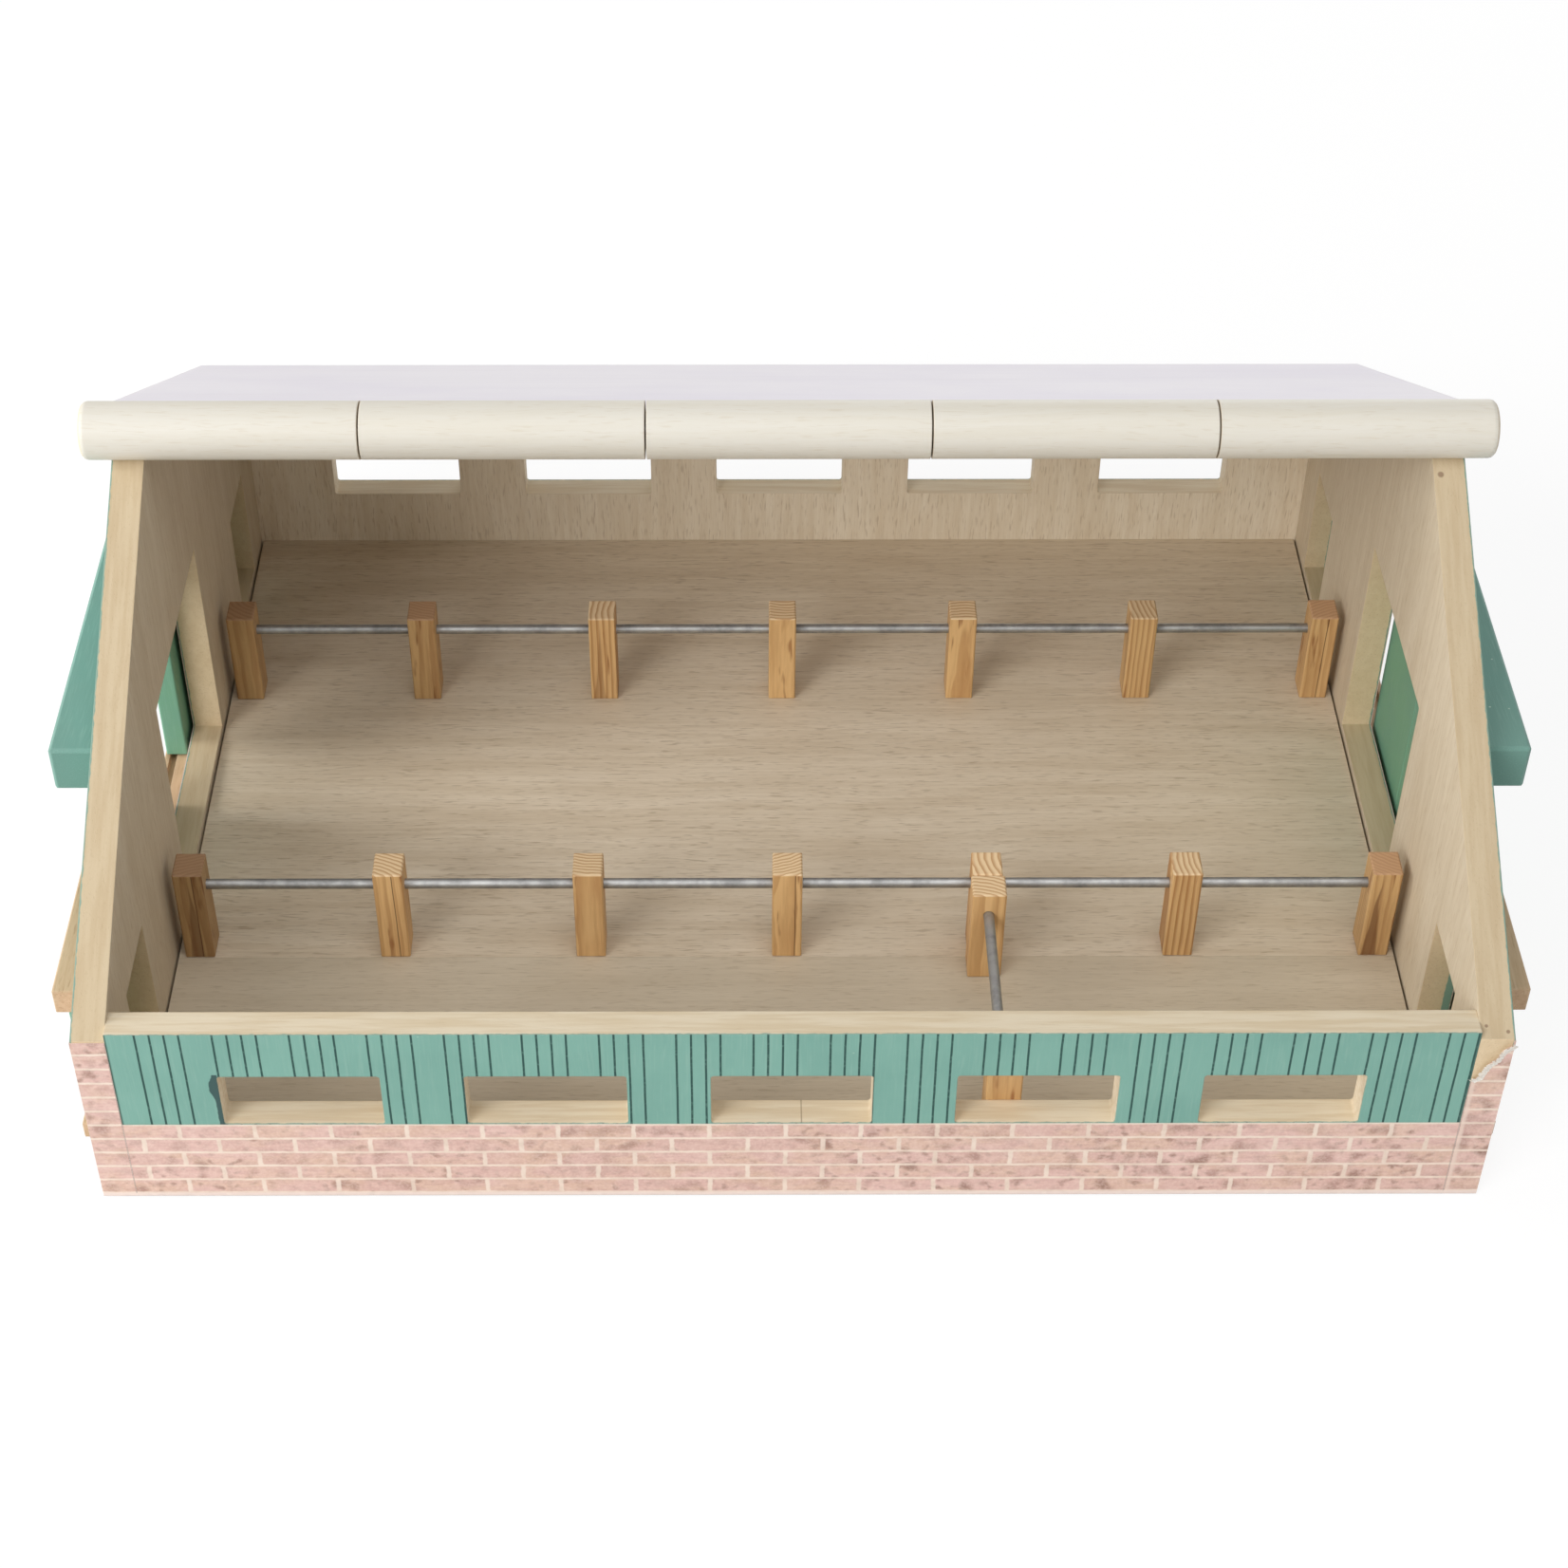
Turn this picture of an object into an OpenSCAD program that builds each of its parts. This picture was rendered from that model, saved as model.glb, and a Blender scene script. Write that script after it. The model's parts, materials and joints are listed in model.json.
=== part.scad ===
// Toy cattle barn: timber walls, two rows of stall posts, sliding doors in both gables,
// and a two-leaf roof on a wooden knuckle hinge whose front leaf folds back over the rear one.
// Millimetres. X runs along the barn, Y from front to back, Z up from the ground.
// The origin is the middle of the footprint, on the ground.

/* [Walls] */
// Length of the barn over its two end walls
barn_l = 500; // [470:5:560]
// Depth of the barn over its front and back walls
barn_d = 389; // [384:1:410]
// Thickness of the end walls
end_t = 12; // [10:0.5:14]
// Thickness of the front and back walls
side_t = 11; // [9:0.5:13]
// Height of the end walls at the eaves
eave_h = 82.4; // [78:0.2:90]
// Slope of the gables in degrees
gable_slope = 30; // [28:0.5:33]
// How far the front and back walls stand above the eaves
side_rise = 3; // [1:0.5:4]

/* [Windows] */
// Width of a window
window_w = 57; // [40:1:70]
// Height of a window
window_h = 24.8; // [16:0.2:30]
// Height of the window sills above the ground
window_sill = 39.2; // [39:0.2:44]
// Distance from one window to the next
window_pitch = 86.5; // [78:0.5:90]
// Radius of the window corners
window_r = 1.2; // [0.6:0.2:4]

/* [Doorways] */
// Width of the main doorway in each gable
doorway_w = 100; // [80:1:104]
// Height of the main doorway's head above the ground
doorway_top = 109.5; // [100:0.5:115]
// Height of the wall left below every doorway
sill_h = 15.5; // [14:0.5:18]
// Width of the small cattle doorways beside it
hatch_w = 36; // [28:1:36]
// Height of the small doorways' heads above the ground
hatch_top = 68; // [60:0.5:72]
// Distance from an end of the upper door rail to the middle of the small doorway next to it
hatch_on = 46; // [44:0.5:48]

/* [Main sliding doors] */
// Width of one main door leaf
leaf_w = 53; // [48:0.5:55]
// Thickness of one main door leaf
leaf_t = 8.8; // [7:0.2:9]
// How far the main leaves hang off the wall
leaf_off = 2.2; // [1.5:0.1:2.4]
// Gap between two leaves that meet
meet_gap = 0.4; // [0.2:0.1:1]
// Length of the upper door rail
door_rail_l = 190; // [182:1:194]
// How far the upper door rail stands out from the wall
door_rail_w = 18; // [16:0.5:22]
// Height of the upper door rail
door_rail_h = 19.2; // [16:0.2:22]
// Width of the eased edges on the upper door rail
door_rail_ease = 1.2; // [0.4:0.1:1.6]
// Depth of the groove in the upper door rail
door_groove_h = 10; // [8:0.5:12]
// How far a main leaf reaches into that groove
leaf_in_rail = 6.5; // [4:0.5:7]

/* [Small sliding doors] */
// Width of one small door leaf
hatch_leaf_w = 38.5; // [37:0.5:40]
// Thickness of one small door leaf
hatch_leaf_t = 6; // [4:0.5:6.5]
// Length of the rail above a small doorway
hatch_rail_l = 71; // [68:0.5:73]
// Height of the rail above a small doorway
hatch_rail_h = 11; // [9:0.5:12]
// Depth of the groove in that rail
hatch_groove_h = 7; // [6:0.5:8]
// How far a small leaf reaches into that groove
hatch_in_rail = 4; // [2:0.5:4.5]

/* [Guide rails] */
// How far the small rails and the foot rails stand out from the wall
foot_rail_w = 12; // [11.5:0.5:15]
// Height of the foot rails
foot_rail_h = 7.5; // [6:0.5:9]
// Solid wood left at both ends of every groove
rail_end = 2; // [1:0.5:4]
// Thickness of the tongue along the foot of every door leaf
tongue_t = 2.4; // [2:0.2:4]
// Height of that tongue
tongue_h = 3; // [2:0.2:3.6]
// How far the tongue stops short of the leaf's side edges
tongue_short = 4; // [2:0.5:8]
// Running clearance of the door leaves in their grooves
slide_gap = 0.3; // [0.2:0.05:0.5]

/* [Floor and stalls] */
// Height of the floor above the ground
floor_h = 13; // [10:0.5:14]
// Gap between the floor boards and the end walls
floor_gap = 0.9; // [0.3:0.1:0.95]
// Width of a stall post along the barn
post_w = 11.4; // [9:0.2:14]
// Depth of a stall post across the barn
post_d = 12.9; // [10:0.1:15]
// Height of the stall posts
post_h = 44; // [38:1:50]
// Distance of the front row of posts from the barn's middle
front_row_d = 79.2; // [74:0.2:84]
// Distance of the rear row of posts from the barn's middle
rear_row_d = 76.4; // [70:0.2:82]
// Gap between the last post of a row and the end wall
post_wall_gap = 3.7; // [2:0.1:8]
// Diameter of the stall rods
rod_d = 4; // [3:0.2:5]
// Height of the stall rods above the floor
rod_up = 33.7; // [26:0.1:34]
// How deep the rods reach into the last post at each end
rod_seat = 8; // [4:0.5:8.5]
// Post of the front row that carries the stall divider
divider_post = 5; // [3:1:6]
// Width of the eased edges on the timber
ease = 0.5; // [0.2:0.1:0.8]

/* [Roof] */
// Length of a roof leaf from the hinge axis to its eave
roof_len = 240; // [232:1:260]
// Thickness of a roof leaf
panel_t = 6; // [4:0.2:7]
// How far the roof stands out past the end walls
roof_over = 10; // [6:0.5:16]
// Diameter of the ridge dowel that the knuckles are cut from
ridge_d = 21.6; // [20:0.2:25]
// Width of the rounding at both ends of the dowel
ridge_round = 2.2; // [0.6:0.2:3]
// Length of the three middle knuckles
knuckle_l = 105; // [100:0.5:108]
// Gap between two knuckles
knuckle_gap = 0.6; // [0.3:0.1:1]
// Diameter of the hinge rod
hinge_rod_d = 4; // [3:0.2:5]
// Running clearance around the hinge rod
hinge_gap = 0.05; // [0.02:0.01:0.1]
// How far the hinge rod stops short of the ridge's ends
rod_recess = 3; // [1:0.5:5]
// Gap between the two roof leaves when the front one is folded back
fold_gap = 0.45; // [0.3:0.05:1]

/* [Printed paper] */
// Thickness of the printed paper
print_t = 0.3; // [0.2:0.05:0.4]
// Height of the brick strip on the front and back walls
brick_h = 39; // [30:0.5:39]
// Height of the brick print round the end walls
gable_brick_h = 81.5; // [76:0.5:82]
// Width of the torn corner at the right front
tear_w = 11.7; // [4:0.1:11.8]
// Height of the torn corner at the right front
tear_h = 22; // [10:1:30]

/* [Fasteners] */
// Diameter of the wall and roof nails
nail_d = 1.8; // [1.4:0.1:2.2]
// Length of the wall nails
nail_l = 26; // [20:1:30]
// Length of the roof nails
roof_nail_l = 22; // [18:1:26]
// Diameter of the screws under the posts
screw_d = 3; // [2:0.1:4]
// Length of the screws under the posts
screw_l = 28; // [22:1:32]

/* [Hidden] */
$fn = 64;
SIDES = ["left", "right"];
POST_COUNT = 7;
KNUCKLES = 5;
WINDOWS = 5;

eps = 0.01;
bare_wood = "#d9c6a3";
pine = "#c99a63";
green_paint = "#7fb5a6";
brick_pink = "#d9aaa0";
roof_white = "#e2e0e6";
washed_dowel = "#efe8d6";
steel = "#8f9396";

// Walls
half_l = barn_l / 2;
half_d = barn_d / 2;
inner_l = barn_l - 2 * end_t;
apex_z = eave_h + half_d * tan(gable_slope);
side_h = eave_h + side_rise;

// Roof: the hinge axis lies above the apex. The rear leaf rests on the back wall, and the front
// leaf, which is drawn folded back on top of it, stops just short of the front wall when it shuts
front_air = fold_gap / 3;
rear_air = fold_gap - front_air;
panel_drop = panel_t + rear_air;
ridge_z = apex_z + panel_drop / cos(gable_slope) + front_air;
ridge_r = ridge_d / 2;
saddle_gap = 0.1;
roof_rise = ridge_z - side_h;
roof_slope = atan(roof_rise / half_d) - asin(panel_drop / norm([half_d, roof_rise]));
roof_l = barn_l + 2 * roof_over;
ridge_l = roof_l;
end_knuckle_l = (ridge_l - (KNUCKLES - 2) * knuckle_l) / 2;
knuckle_bore = hinge_rod_d + 2 * hinge_gap;
bore_wall = 3;
slot_s = knuckle_bore / 2 + bore_wall;
notch_gap = 0.8;
notch_s = ridge_r + notch_gap;

// Doors: all leaves share one centre line, and their tongues one line near the small leaves' outer face
leaf_x = half_l + leaf_off;
slide_x = leaf_x + leaf_t / 2;
tongue_rebate = 0.2;
tongue_x = slide_x + hatch_leaf_t / 2 - tongue_rebate - tongue_t;
rails_apart = 0.5;
hatch_y = door_rail_l / 2 + hatch_on;
hatch_rail_near_y = door_rail_l / 2 + rails_apart;
foot_y = hatch_rail_near_y + hatch_rail_l;
door_rail_z = doorway_top;
foot_air = 0.5;
leaf_foot_z = foot_rail_h + foot_air;
leaf_top_z = door_rail_z + leaf_in_rail;
leaf_travel = door_rail_l / 2 - rail_end - slide_gap - leaf_w - meet_gap / 2;
hatch_rail_z = hatch_top - 1;
hatch_leaf_top_z = hatch_rail_z + hatch_in_rail;
hatch_travel = hatch_y - hatch_leaf_w / 2 - hatch_rail_near_y - rail_end - slide_gap;

// Stalls
front_row_y = -front_row_d;
rear_row_y = rear_row_d;
end_post_x = inner_l / 2 - post_wall_gap - post_w / 2;
post_pitch = 2 * end_post_x / (POST_COUNT - 1);
rod_z = floor_h + rod_up;
rod_fit = 0.05;
divider_x = -end_post_x + (divider_post - 1) * post_pitch;
divider_y = front_row_y - post_d / 2 - post_w / 2;
wall_post_y = -half_d + side_t + post_w / 2;
floor_joint_y = front_row_y - post_d / 2;

// Fasteners
nail_head_d = 2 * nail_d;
nail_head_h = 0.8;
screw_head_d = 2 * screw_d;
screw_head_h = screw_d / 2;
hole_fit = 0.05;
wall_nail_z = [22, 66];
roof_nail_s = [70, 180];

// Mirrors what is drawn for the right gable to the left one
module at_side(side) {
    if (side > 0) children();
    else mirror([1, 0, 0]) children();
}

// Mirrors what is drawn for the front half to the rear one
module at_end(end) {
    if (end < 0) children();
    else mirror([0, 1, 0]) children();
}

// A block from one corner, with every edge eased by c
module eased_block(size, c = ease) {
    intersection() {
        linear_extrude(size.z) eased_square([size.x, size.y], c);
        translate([0, size.y, 0]) rotate([90, 0, 0]) linear_extrude(size.y) eased_square([size.x, size.z], c);
        rotate([90, 0, 90]) linear_extrude(size.x) eased_square([size.y, size.z], c);
    }
}

module eased_square(size, c) {
    polygon([
        [c, 0], [size.x - c, 0], [size.x, c], [size.x, size.y - c],
        [size.x - c, size.y], [c, size.y], [0, size.y - c], [0, c]
    ]);
}

// A window opening with round corners, centred on x
module window_outline() {
    translate([-window_w / 2 + window_r, 0]) square([window_w - 2 * window_r, window_h]);
    translate([-window_w / 2, window_r]) square([window_w, window_h - 2 * window_r]);
    for (x = [-1, 1]) for (z = [window_r, window_h - window_r])
        translate([x * (window_w / 2 - window_r), z]) circle(r = window_r);
}

// Outline of a gable, without its openings
module gable_outline() {
    polygon([[-half_d, 0], [half_d, 0], [half_d, eave_h], [0, apex_z], [-half_d, eave_h]]);
}

// The doorway and the two small doorways of a gable
module gable_openings() {
    translate([-doorway_w / 2, sill_h]) square([doorway_w, doorway_top - sill_h]);
    for (y = [-hatch_y, hatch_y])
        translate([y - hatch_w / 2, sill_h]) square([hatch_w, hatch_top - sill_h]);
}

// One nail along its own -Z axis, its head flush with z = 0
module nail(length, fit = 0) {
    translate([0, 0, -length]) cylinder(d = nail_d + 2 * fit, h = length);
    translate([0, 0, -nail_head_h]) cylinder(d = nail_head_d + 2 * fit, h = nail_head_h + fit);
}

// Places a wall nail through the right end wall into the front wall
module wall_nail_spots() {
    for (z = wall_nail_z)
        translate([half_l, -half_d + side_t / 2, z]) rotate([0, 90, 0]) children();
}

module all_wall_nail_spots() {
    for (side = [-1, 1]) at_side(side)
        for (end = [-1, 1]) at_end(end) wall_nail_spots() children();
}

// The rear roof leaf's own frame: X along the ridge, Y down the rear slope, Z away from the roof
module rear_slope() {
    translate([0, 0, ridge_z]) rotate([-roof_slope, 0, 0]) children();
}

module roof_nail_spots() {
    for (side = [-1, 1]) for (s = roof_nail_s)
        rear_slope() translate([side * (half_l - end_t / 2), s, -rear_air]) children();
}

// Timber walls
module end_wall(side) {
    color(bare_wood)
    difference() {
        at_side(side) translate([half_l - end_t, 0, 0]) rotate([90, 0, 90])
            linear_extrude(end_t) difference() {
                gable_outline();
                gable_openings();
            }
        translate([-half_l - 1, 0, ridge_z]) rotate([0, 90, 0])
            cylinder(r = ridge_r + saddle_gap, h = barn_l + 2);
        all_wall_nail_spots() nail(nail_l, hole_fit);
        roof_nail_spots() nail(roof_nail_l + hole_fit, hole_fit);
    }
}

module side_wall(end) {
    color(green_paint)
    difference() {
        at_end(end) translate([0, -half_d + side_t, 0]) rotate([90, 0, 0])
            linear_extrude(side_t) difference() {
                translate([-inner_l / 2, 0]) square([inner_l, side_h]);
                for (i = [0:WINDOWS - 1])
                    translate([(i - (WINDOWS - 1) / 2) * window_pitch, window_sill]) window_outline();
            }
        all_wall_nail_spots() nail(nail_l + hole_fit, hole_fit);
    }
}

// Printed brick paper
module side_brick_print(end) {
    color(brick_pink)
    at_end(end)
        translate([-inner_l / 2, -half_d - print_t, print_t]) cube([inner_l, print_t, brick_h - print_t]);
}

module gable_brick_print(side, torn) {
    color(brick_pink)
    at_side(side) {
        difference() {
            translate([half_l, -half_d - print_t, print_t])
                cube([print_t, barn_d + 2 * print_t, gable_brick_h - print_t]);
            translate([half_l - 1, 0, 0]) rotate([90, 0, 90]) linear_extrude(print_t + 2) gable_openings();
        }
        for (end = [-1, 1]) at_end(end) difference() {
            translate([inner_l / 2, -half_d - print_t, print_t])
                cube([end_t, print_t, gable_brick_h - print_t]);
            if (torn && end < 0)
                translate([inner_l / 2, -half_d + 1, gable_brick_h]) rotate([90, 0, 0])
                    linear_extrude(print_t + 2) tear_outline();
        }
    }
}

// The torn-off corner: wide at the top, ragged along its lower edge
module tear_outline() {
    polygon([
        [-1, 1], [tear_w, 1], [tear_w, -0.1 * tear_h], [0.75 * tear_w, -0.22 * tear_h],
        [0.62 * tear_w, -0.42 * tear_h], [0.4 * tear_w, -0.55 * tear_h],
        [0.22 * tear_w, -0.82 * tear_h], [-1, -tear_h]
    ]);
}

// Floor boards
module floor_board(y0, y1) {
    translate([-inner_l / 2 + floor_gap, y0, 0]) cube([inner_l - 2 * floor_gap, y1 - y0, floor_h]);
}

module floor_lane_board() {
    color("#cdbfa6")
    difference() {
        floor_board(floor_joint_y, half_d - side_t);
        all_post_spots() post_screw(hole_fit);
    }
}

module floor_front_board() {
    color("#c8bda8")
    difference() {
        floor_board(-half_d + side_t, floor_joint_y);
        all_post_spots() post_screw(hole_fit);
    }
}

// Stall posts and rods
module post_spot(i, y) {
    translate([-end_post_x + (i - 1) * post_pitch, y, 0]) children();
}

module all_post_spots() {
    for (i = [1:POST_COUNT]) for (y = [front_row_y, rear_row_y]) post_spot(i, y) children();
    for (y = [divider_y, wall_post_y]) translate([divider_x, y, 0]) children();
}

module post_screw(fit = 0) {
    cylinder(d = screw_d + 2 * fit, h = screw_l + fit);
    translate([0, 0, -fit])
        cylinder(d1 = screw_head_d + 2 * fit, d2 = screw_d + 2 * fit, h = screw_head_h + fit);
}

module stall_post(i, y) {
    color(pine)
    difference() {
        post_spot(i, y) translate([-post_w / 2, -post_d / 2, floor_h]) eased_block([post_w, post_d, post_h]);
        stall_rod_at(y, rod_fit);
        post_spot(i, y) post_screw(hole_fit);
    }
}

module stall_rod_at(y, fit = 0) {
    rod_half = end_post_x - post_w / 2 + rod_seat;
    translate([-rod_half - fit, y, rod_z]) rotate([0, 90, 0])
        cylinder(d = rod_d + 2 * fit, h = 2 * (rod_half + fit));
}

module stall_rod(y) {
    color(steel) stall_rod_at(y);
}

// The divider's posts are stall posts turned by a quarter
module divider_post_at(y) {
    color(pine)
    difference() {
        translate([divider_x - post_d / 2, y - post_w / 2, floor_h]) eased_block([post_d, post_w, post_h]);
        divider_rod_at(rod_fit);
        translate([divider_x, y, 0]) post_screw(hole_fit);
    }
}

module divider_rod_at(fit = 0) {
    reach = post_w / 2 - rod_seat;
    translate([divider_x, wall_post_y - reach, rod_z]) rotate([-90, 0, 0])
        translate([0, 0, -fit])
            cylinder(d = rod_d + 2 * fit, h = divider_y - wall_post_y + 2 * reach + 2 * fit);
}

// Ridge knuckles: odd ones are glued to the rear leaf, even ones to the front leaf
module knuckle_body(i) {
    difference() {
        intersection() {
            translate([knuckle_start(i) + knuckle_gap / 2, 0, 0]) rotate([0, 90, 0])
                cylinder(r = ridge_r, h = knuckle_start(i + 1) - knuckle_start(i) - knuckle_gap);
            ridge_dowel();
        }
        translate([-roof_l / 2 - 1, 0, 0]) rotate([0, 90, 0]) cylinder(d = knuckle_bore, h = roof_l + 2);
        translate([-roof_l / 2 - 1, slot_s, is_rear(i) ? -panel_drop : front_air])
            cube([roof_l + 2, ridge_r, panel_t]);
    }
}

// The whole dowel with its ends rounded off in three steps
module ridge_dowel() {
    rotate([0, 90, 0]) rotate_extrude() polygon(concat(
        [[0, -ridge_l / 2]],
        [for (a = [0, 30, 60, 90]) [ridge_r - ridge_round * (1 - sin(a)), -ridge_l / 2 + ridge_round * (1 - cos(a))]],
        [for (a = [90, 60, 30, 0]) [ridge_r - ridge_round * (1 - sin(a)), ridge_l / 2 - ridge_round * (1 - cos(a))]],
        [[0, ridge_l / 2]]
    ));
}

function is_rear(i) = i % 2 == 1;

// Where knuckle i begins along the ridge; the two end knuckles take up what the middle ones leave
function knuckle_start(i) =
    i == 1 ? -ridge_l / 2
    : i > KNUCKLES ? ridge_l / 2
    : -ridge_l / 2 + end_knuckle_l + (i - 2) * knuckle_l;

module ridge_knuckle(i) {
    color(washed_dowel) rear_slope() knuckle_body(i);
}

module ridge_hinge_rod() {
    color(steel)
    translate([-roof_l / 2 + rod_recess, 0, ridge_z]) rotate([0, 90, 0])
        cylinder(d = hinge_rod_d, h = roof_l - 2 * rod_recess);
}

// Outline of a roof leaf: tongues for its own knuckles, notches round the others
module roof_leaf_outline(rear) {
    translate([-roof_l / 2, notch_s]) square([roof_l, roof_len - notch_s]);
    for (i = [1:KNUCKLES]) if (is_rear(i) == rear)
        translate([knuckle_start(i) + knuckle_gap / 2, slot_s])
            square([knuckle_start(i + 1) - knuckle_start(i) - knuckle_gap, notch_s - slot_s + eps]);
}

module roof_rear_panel() {
    color(roof_white)
    difference() {
        rear_slope() translate([0, 0, -panel_drop]) linear_extrude(panel_t) roof_leaf_outline(true);
        roof_nail_spots() nail(roof_nail_l, hole_fit);
    }
}

module roof_front_panel() {
    color(roof_white)
    rear_slope() translate([0, 0, front_air]) linear_extrude(panel_t) roof_leaf_outline(false);
}

// Upper rail of the main doors, with a groove in its underside
module door_rail(side) {
    color(green_paint)
    at_side(side) difference() {
        translate([half_l, -door_rail_l / 2, door_rail_z])
            eased_block([door_rail_w, door_rail_l, door_rail_h], door_rail_ease);
        translate([leaf_x - slide_gap, -door_rail_l / 2 + rail_end, door_rail_z - 1])
            cube([leaf_t + 2 * slide_gap, door_rail_l - 2 * rail_end, door_groove_h + 1]);
    }
}

// Rail above a small doorway, with a groove in its underside
module hatch_rail(side, end) {
    color(bare_wood)
    at_side(side) at_end(end) difference() {
        translate([half_l + print_t, -foot_y, hatch_rail_z])
            eased_block([foot_rail_w - print_t, hatch_rail_l, hatch_rail_h]);
        translate([slide_x - hatch_leaf_t / 2 - slide_gap, -foot_y + rail_end, hatch_rail_z - 1])
            cube([hatch_leaf_t + 2 * slide_gap, hatch_rail_l - 2 * rail_end, hatch_groove_h + 1]);
    }
}

// Foot rail along the whole gable, with one narrow groove for all the leaves' tongues
module foot_rail(side) {
    color(bare_wood)
    at_side(side) difference() {
        translate([half_l + print_t, -foot_y, 0])
            eased_block([foot_rail_w - print_t, 2 * foot_y, foot_rail_h]);
        translate([tongue_x - slide_gap, -foot_y + rail_end, leaf_foot_z - tongue_h - slide_gap])
            cube([tongue_t + 2 * slide_gap, 2 * (foot_y - rail_end), foot_rail_h]);
    }
}

// A door leaf from its lower front corner, which lies at x = inner_x, with a tongue along its foot
module leaf_board(inner_x, thickness, width, height) {
    translate([inner_x, 0, 0]) eased_block([thickness, width, height]);
    translate([tongue_x, tongue_short, -tongue_h])
        cube([tongue_t, width - 2 * tongue_short, tongue_h + ease + eps]);
}

// shut is 1 for a closed leaf and 0 for an open one
module door_leaf(side, end, shut) {
    color(green_paint)
    at_side(side) at_end(end)
        translate([0, -meet_gap / 2 - leaf_w - (1 - shut) * leaf_travel, leaf_foot_z])
            leaf_board(leaf_x, leaf_t, leaf_w, leaf_top_z - leaf_foot_z);
}

module hatch_leaf(side, end, shut) {
    color(green_paint)
    at_side(side) at_end(end)
        translate([0, -hatch_y - hatch_leaf_w / 2 + (1 - shut) * hatch_travel, leaf_foot_z])
            leaf_board(slide_x - hatch_leaf_t / 2, hatch_leaf_t, hatch_leaf_w, hatch_leaf_top_z - leaf_foot_z);
}

// What is drawn: the left rear door leaf and the right front hatch leaf stand open
for (i = [0:1]) {
    side = 2 * i - 1;
    end_wall(side);
    gable_brick_print(side, side > 0);
    door_rail(side);
    foot_rail(side);
    hatch_rail(side, -1);
    hatch_rail(side, 1);
    door_leaf(side, -1, 1);
    door_leaf(side, 1, i);
    hatch_leaf(side, -1, 1 - i);
    hatch_leaf(side, 1, 1);
}
side_wall(-1);  // front_wall
side_wall(1);  // back_wall
side_brick_print(-1);  // front_brick_print
side_brick_print(1);  // back_brick_print
floor_lane_board();
floor_front_board();
for (i = [1:POST_COUNT]) {
    stall_post(i, front_row_y);
    stall_post(i, rear_row_y);
}
divider_post_at(divider_y);  // divider_post_inner
divider_post_at(wall_post_y);  // divider_post_wall
stall_rod(front_row_y);  // front_stall_rod
stall_rod(rear_row_y);  // rear_stall_rod
color(steel) divider_rod_at();  // divider_rod
for (i = [1:KNUCKLES])
    ridge_knuckle(i);
ridge_hinge_rod();
roof_rear_panel();
roof_front_panel();
color(steel) all_wall_nail_spots() nail(nail_l);  // wall_nails
color(steel) roof_nail_spots() nail(roof_nail_l);  // roof_nails
color(steel) all_post_spots() post_screw();  // post_screws
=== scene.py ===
import json
import math
import random

import bmesh
import bpy
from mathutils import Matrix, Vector


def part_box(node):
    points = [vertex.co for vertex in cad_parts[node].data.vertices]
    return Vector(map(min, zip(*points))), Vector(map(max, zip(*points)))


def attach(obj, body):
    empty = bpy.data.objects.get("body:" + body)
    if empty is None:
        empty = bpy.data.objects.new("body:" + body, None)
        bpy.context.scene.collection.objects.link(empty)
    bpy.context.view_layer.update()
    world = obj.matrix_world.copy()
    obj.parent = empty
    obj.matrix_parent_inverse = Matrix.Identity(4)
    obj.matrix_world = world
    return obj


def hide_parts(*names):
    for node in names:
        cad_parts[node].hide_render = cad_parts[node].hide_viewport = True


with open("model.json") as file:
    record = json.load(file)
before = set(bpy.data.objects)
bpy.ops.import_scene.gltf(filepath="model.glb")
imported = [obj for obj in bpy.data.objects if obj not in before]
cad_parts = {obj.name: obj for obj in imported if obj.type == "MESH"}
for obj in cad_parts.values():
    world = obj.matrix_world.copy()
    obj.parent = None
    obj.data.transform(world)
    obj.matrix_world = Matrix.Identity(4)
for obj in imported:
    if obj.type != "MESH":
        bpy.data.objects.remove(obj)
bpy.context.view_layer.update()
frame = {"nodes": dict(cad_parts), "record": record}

MM = 0.001

# The camera, solved from the barn's straight edges in the photograph
PHOTO_PIXELS = 1652
SENSOR_MM = 36
FOCAL_PIXELS = 3002.7
CENTRE_PIXEL_X = 784
CAMERA_PLACE = (-0.01838, -0.86791, 0.80668)
CAMERA_BELOW_LEVEL = 41.947
CAMERA_TURN = -0.00231

# Lamps: name, place, point aimed at, size, power, colour
LAMPS = (
    ("key_lamp", (-2.25, -2.78, 2.08), (0, 0, 0.05), 2.55, 93, (1, 0.99, 0.975)),
    ("top_lamp", (0.3, -0.8, 2.2), (0, 0, 0.05), 1.4, 12, (1, 1, 1)),
    ("rear_lamp", (0.5, 2.2, 0.55), (0, 0.1, 0.1), 1.4, 10, (1, 1, 1)),
    ("side_lamp", (-1.3, 0.05, 0.5), (-0.15, 0, 0.02), 0.5, 9, (1, 0.99, 0.97)),
)
# The world's light, and what it gains where it is seen directly
WORLD_LEVEL = 0.36
SHOWN_LEVEL = 0.66
FLOOR_HALF = 6.0
FLOOR_Z = -0.0004
FLOOR_GLOW = 1.06

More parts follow.
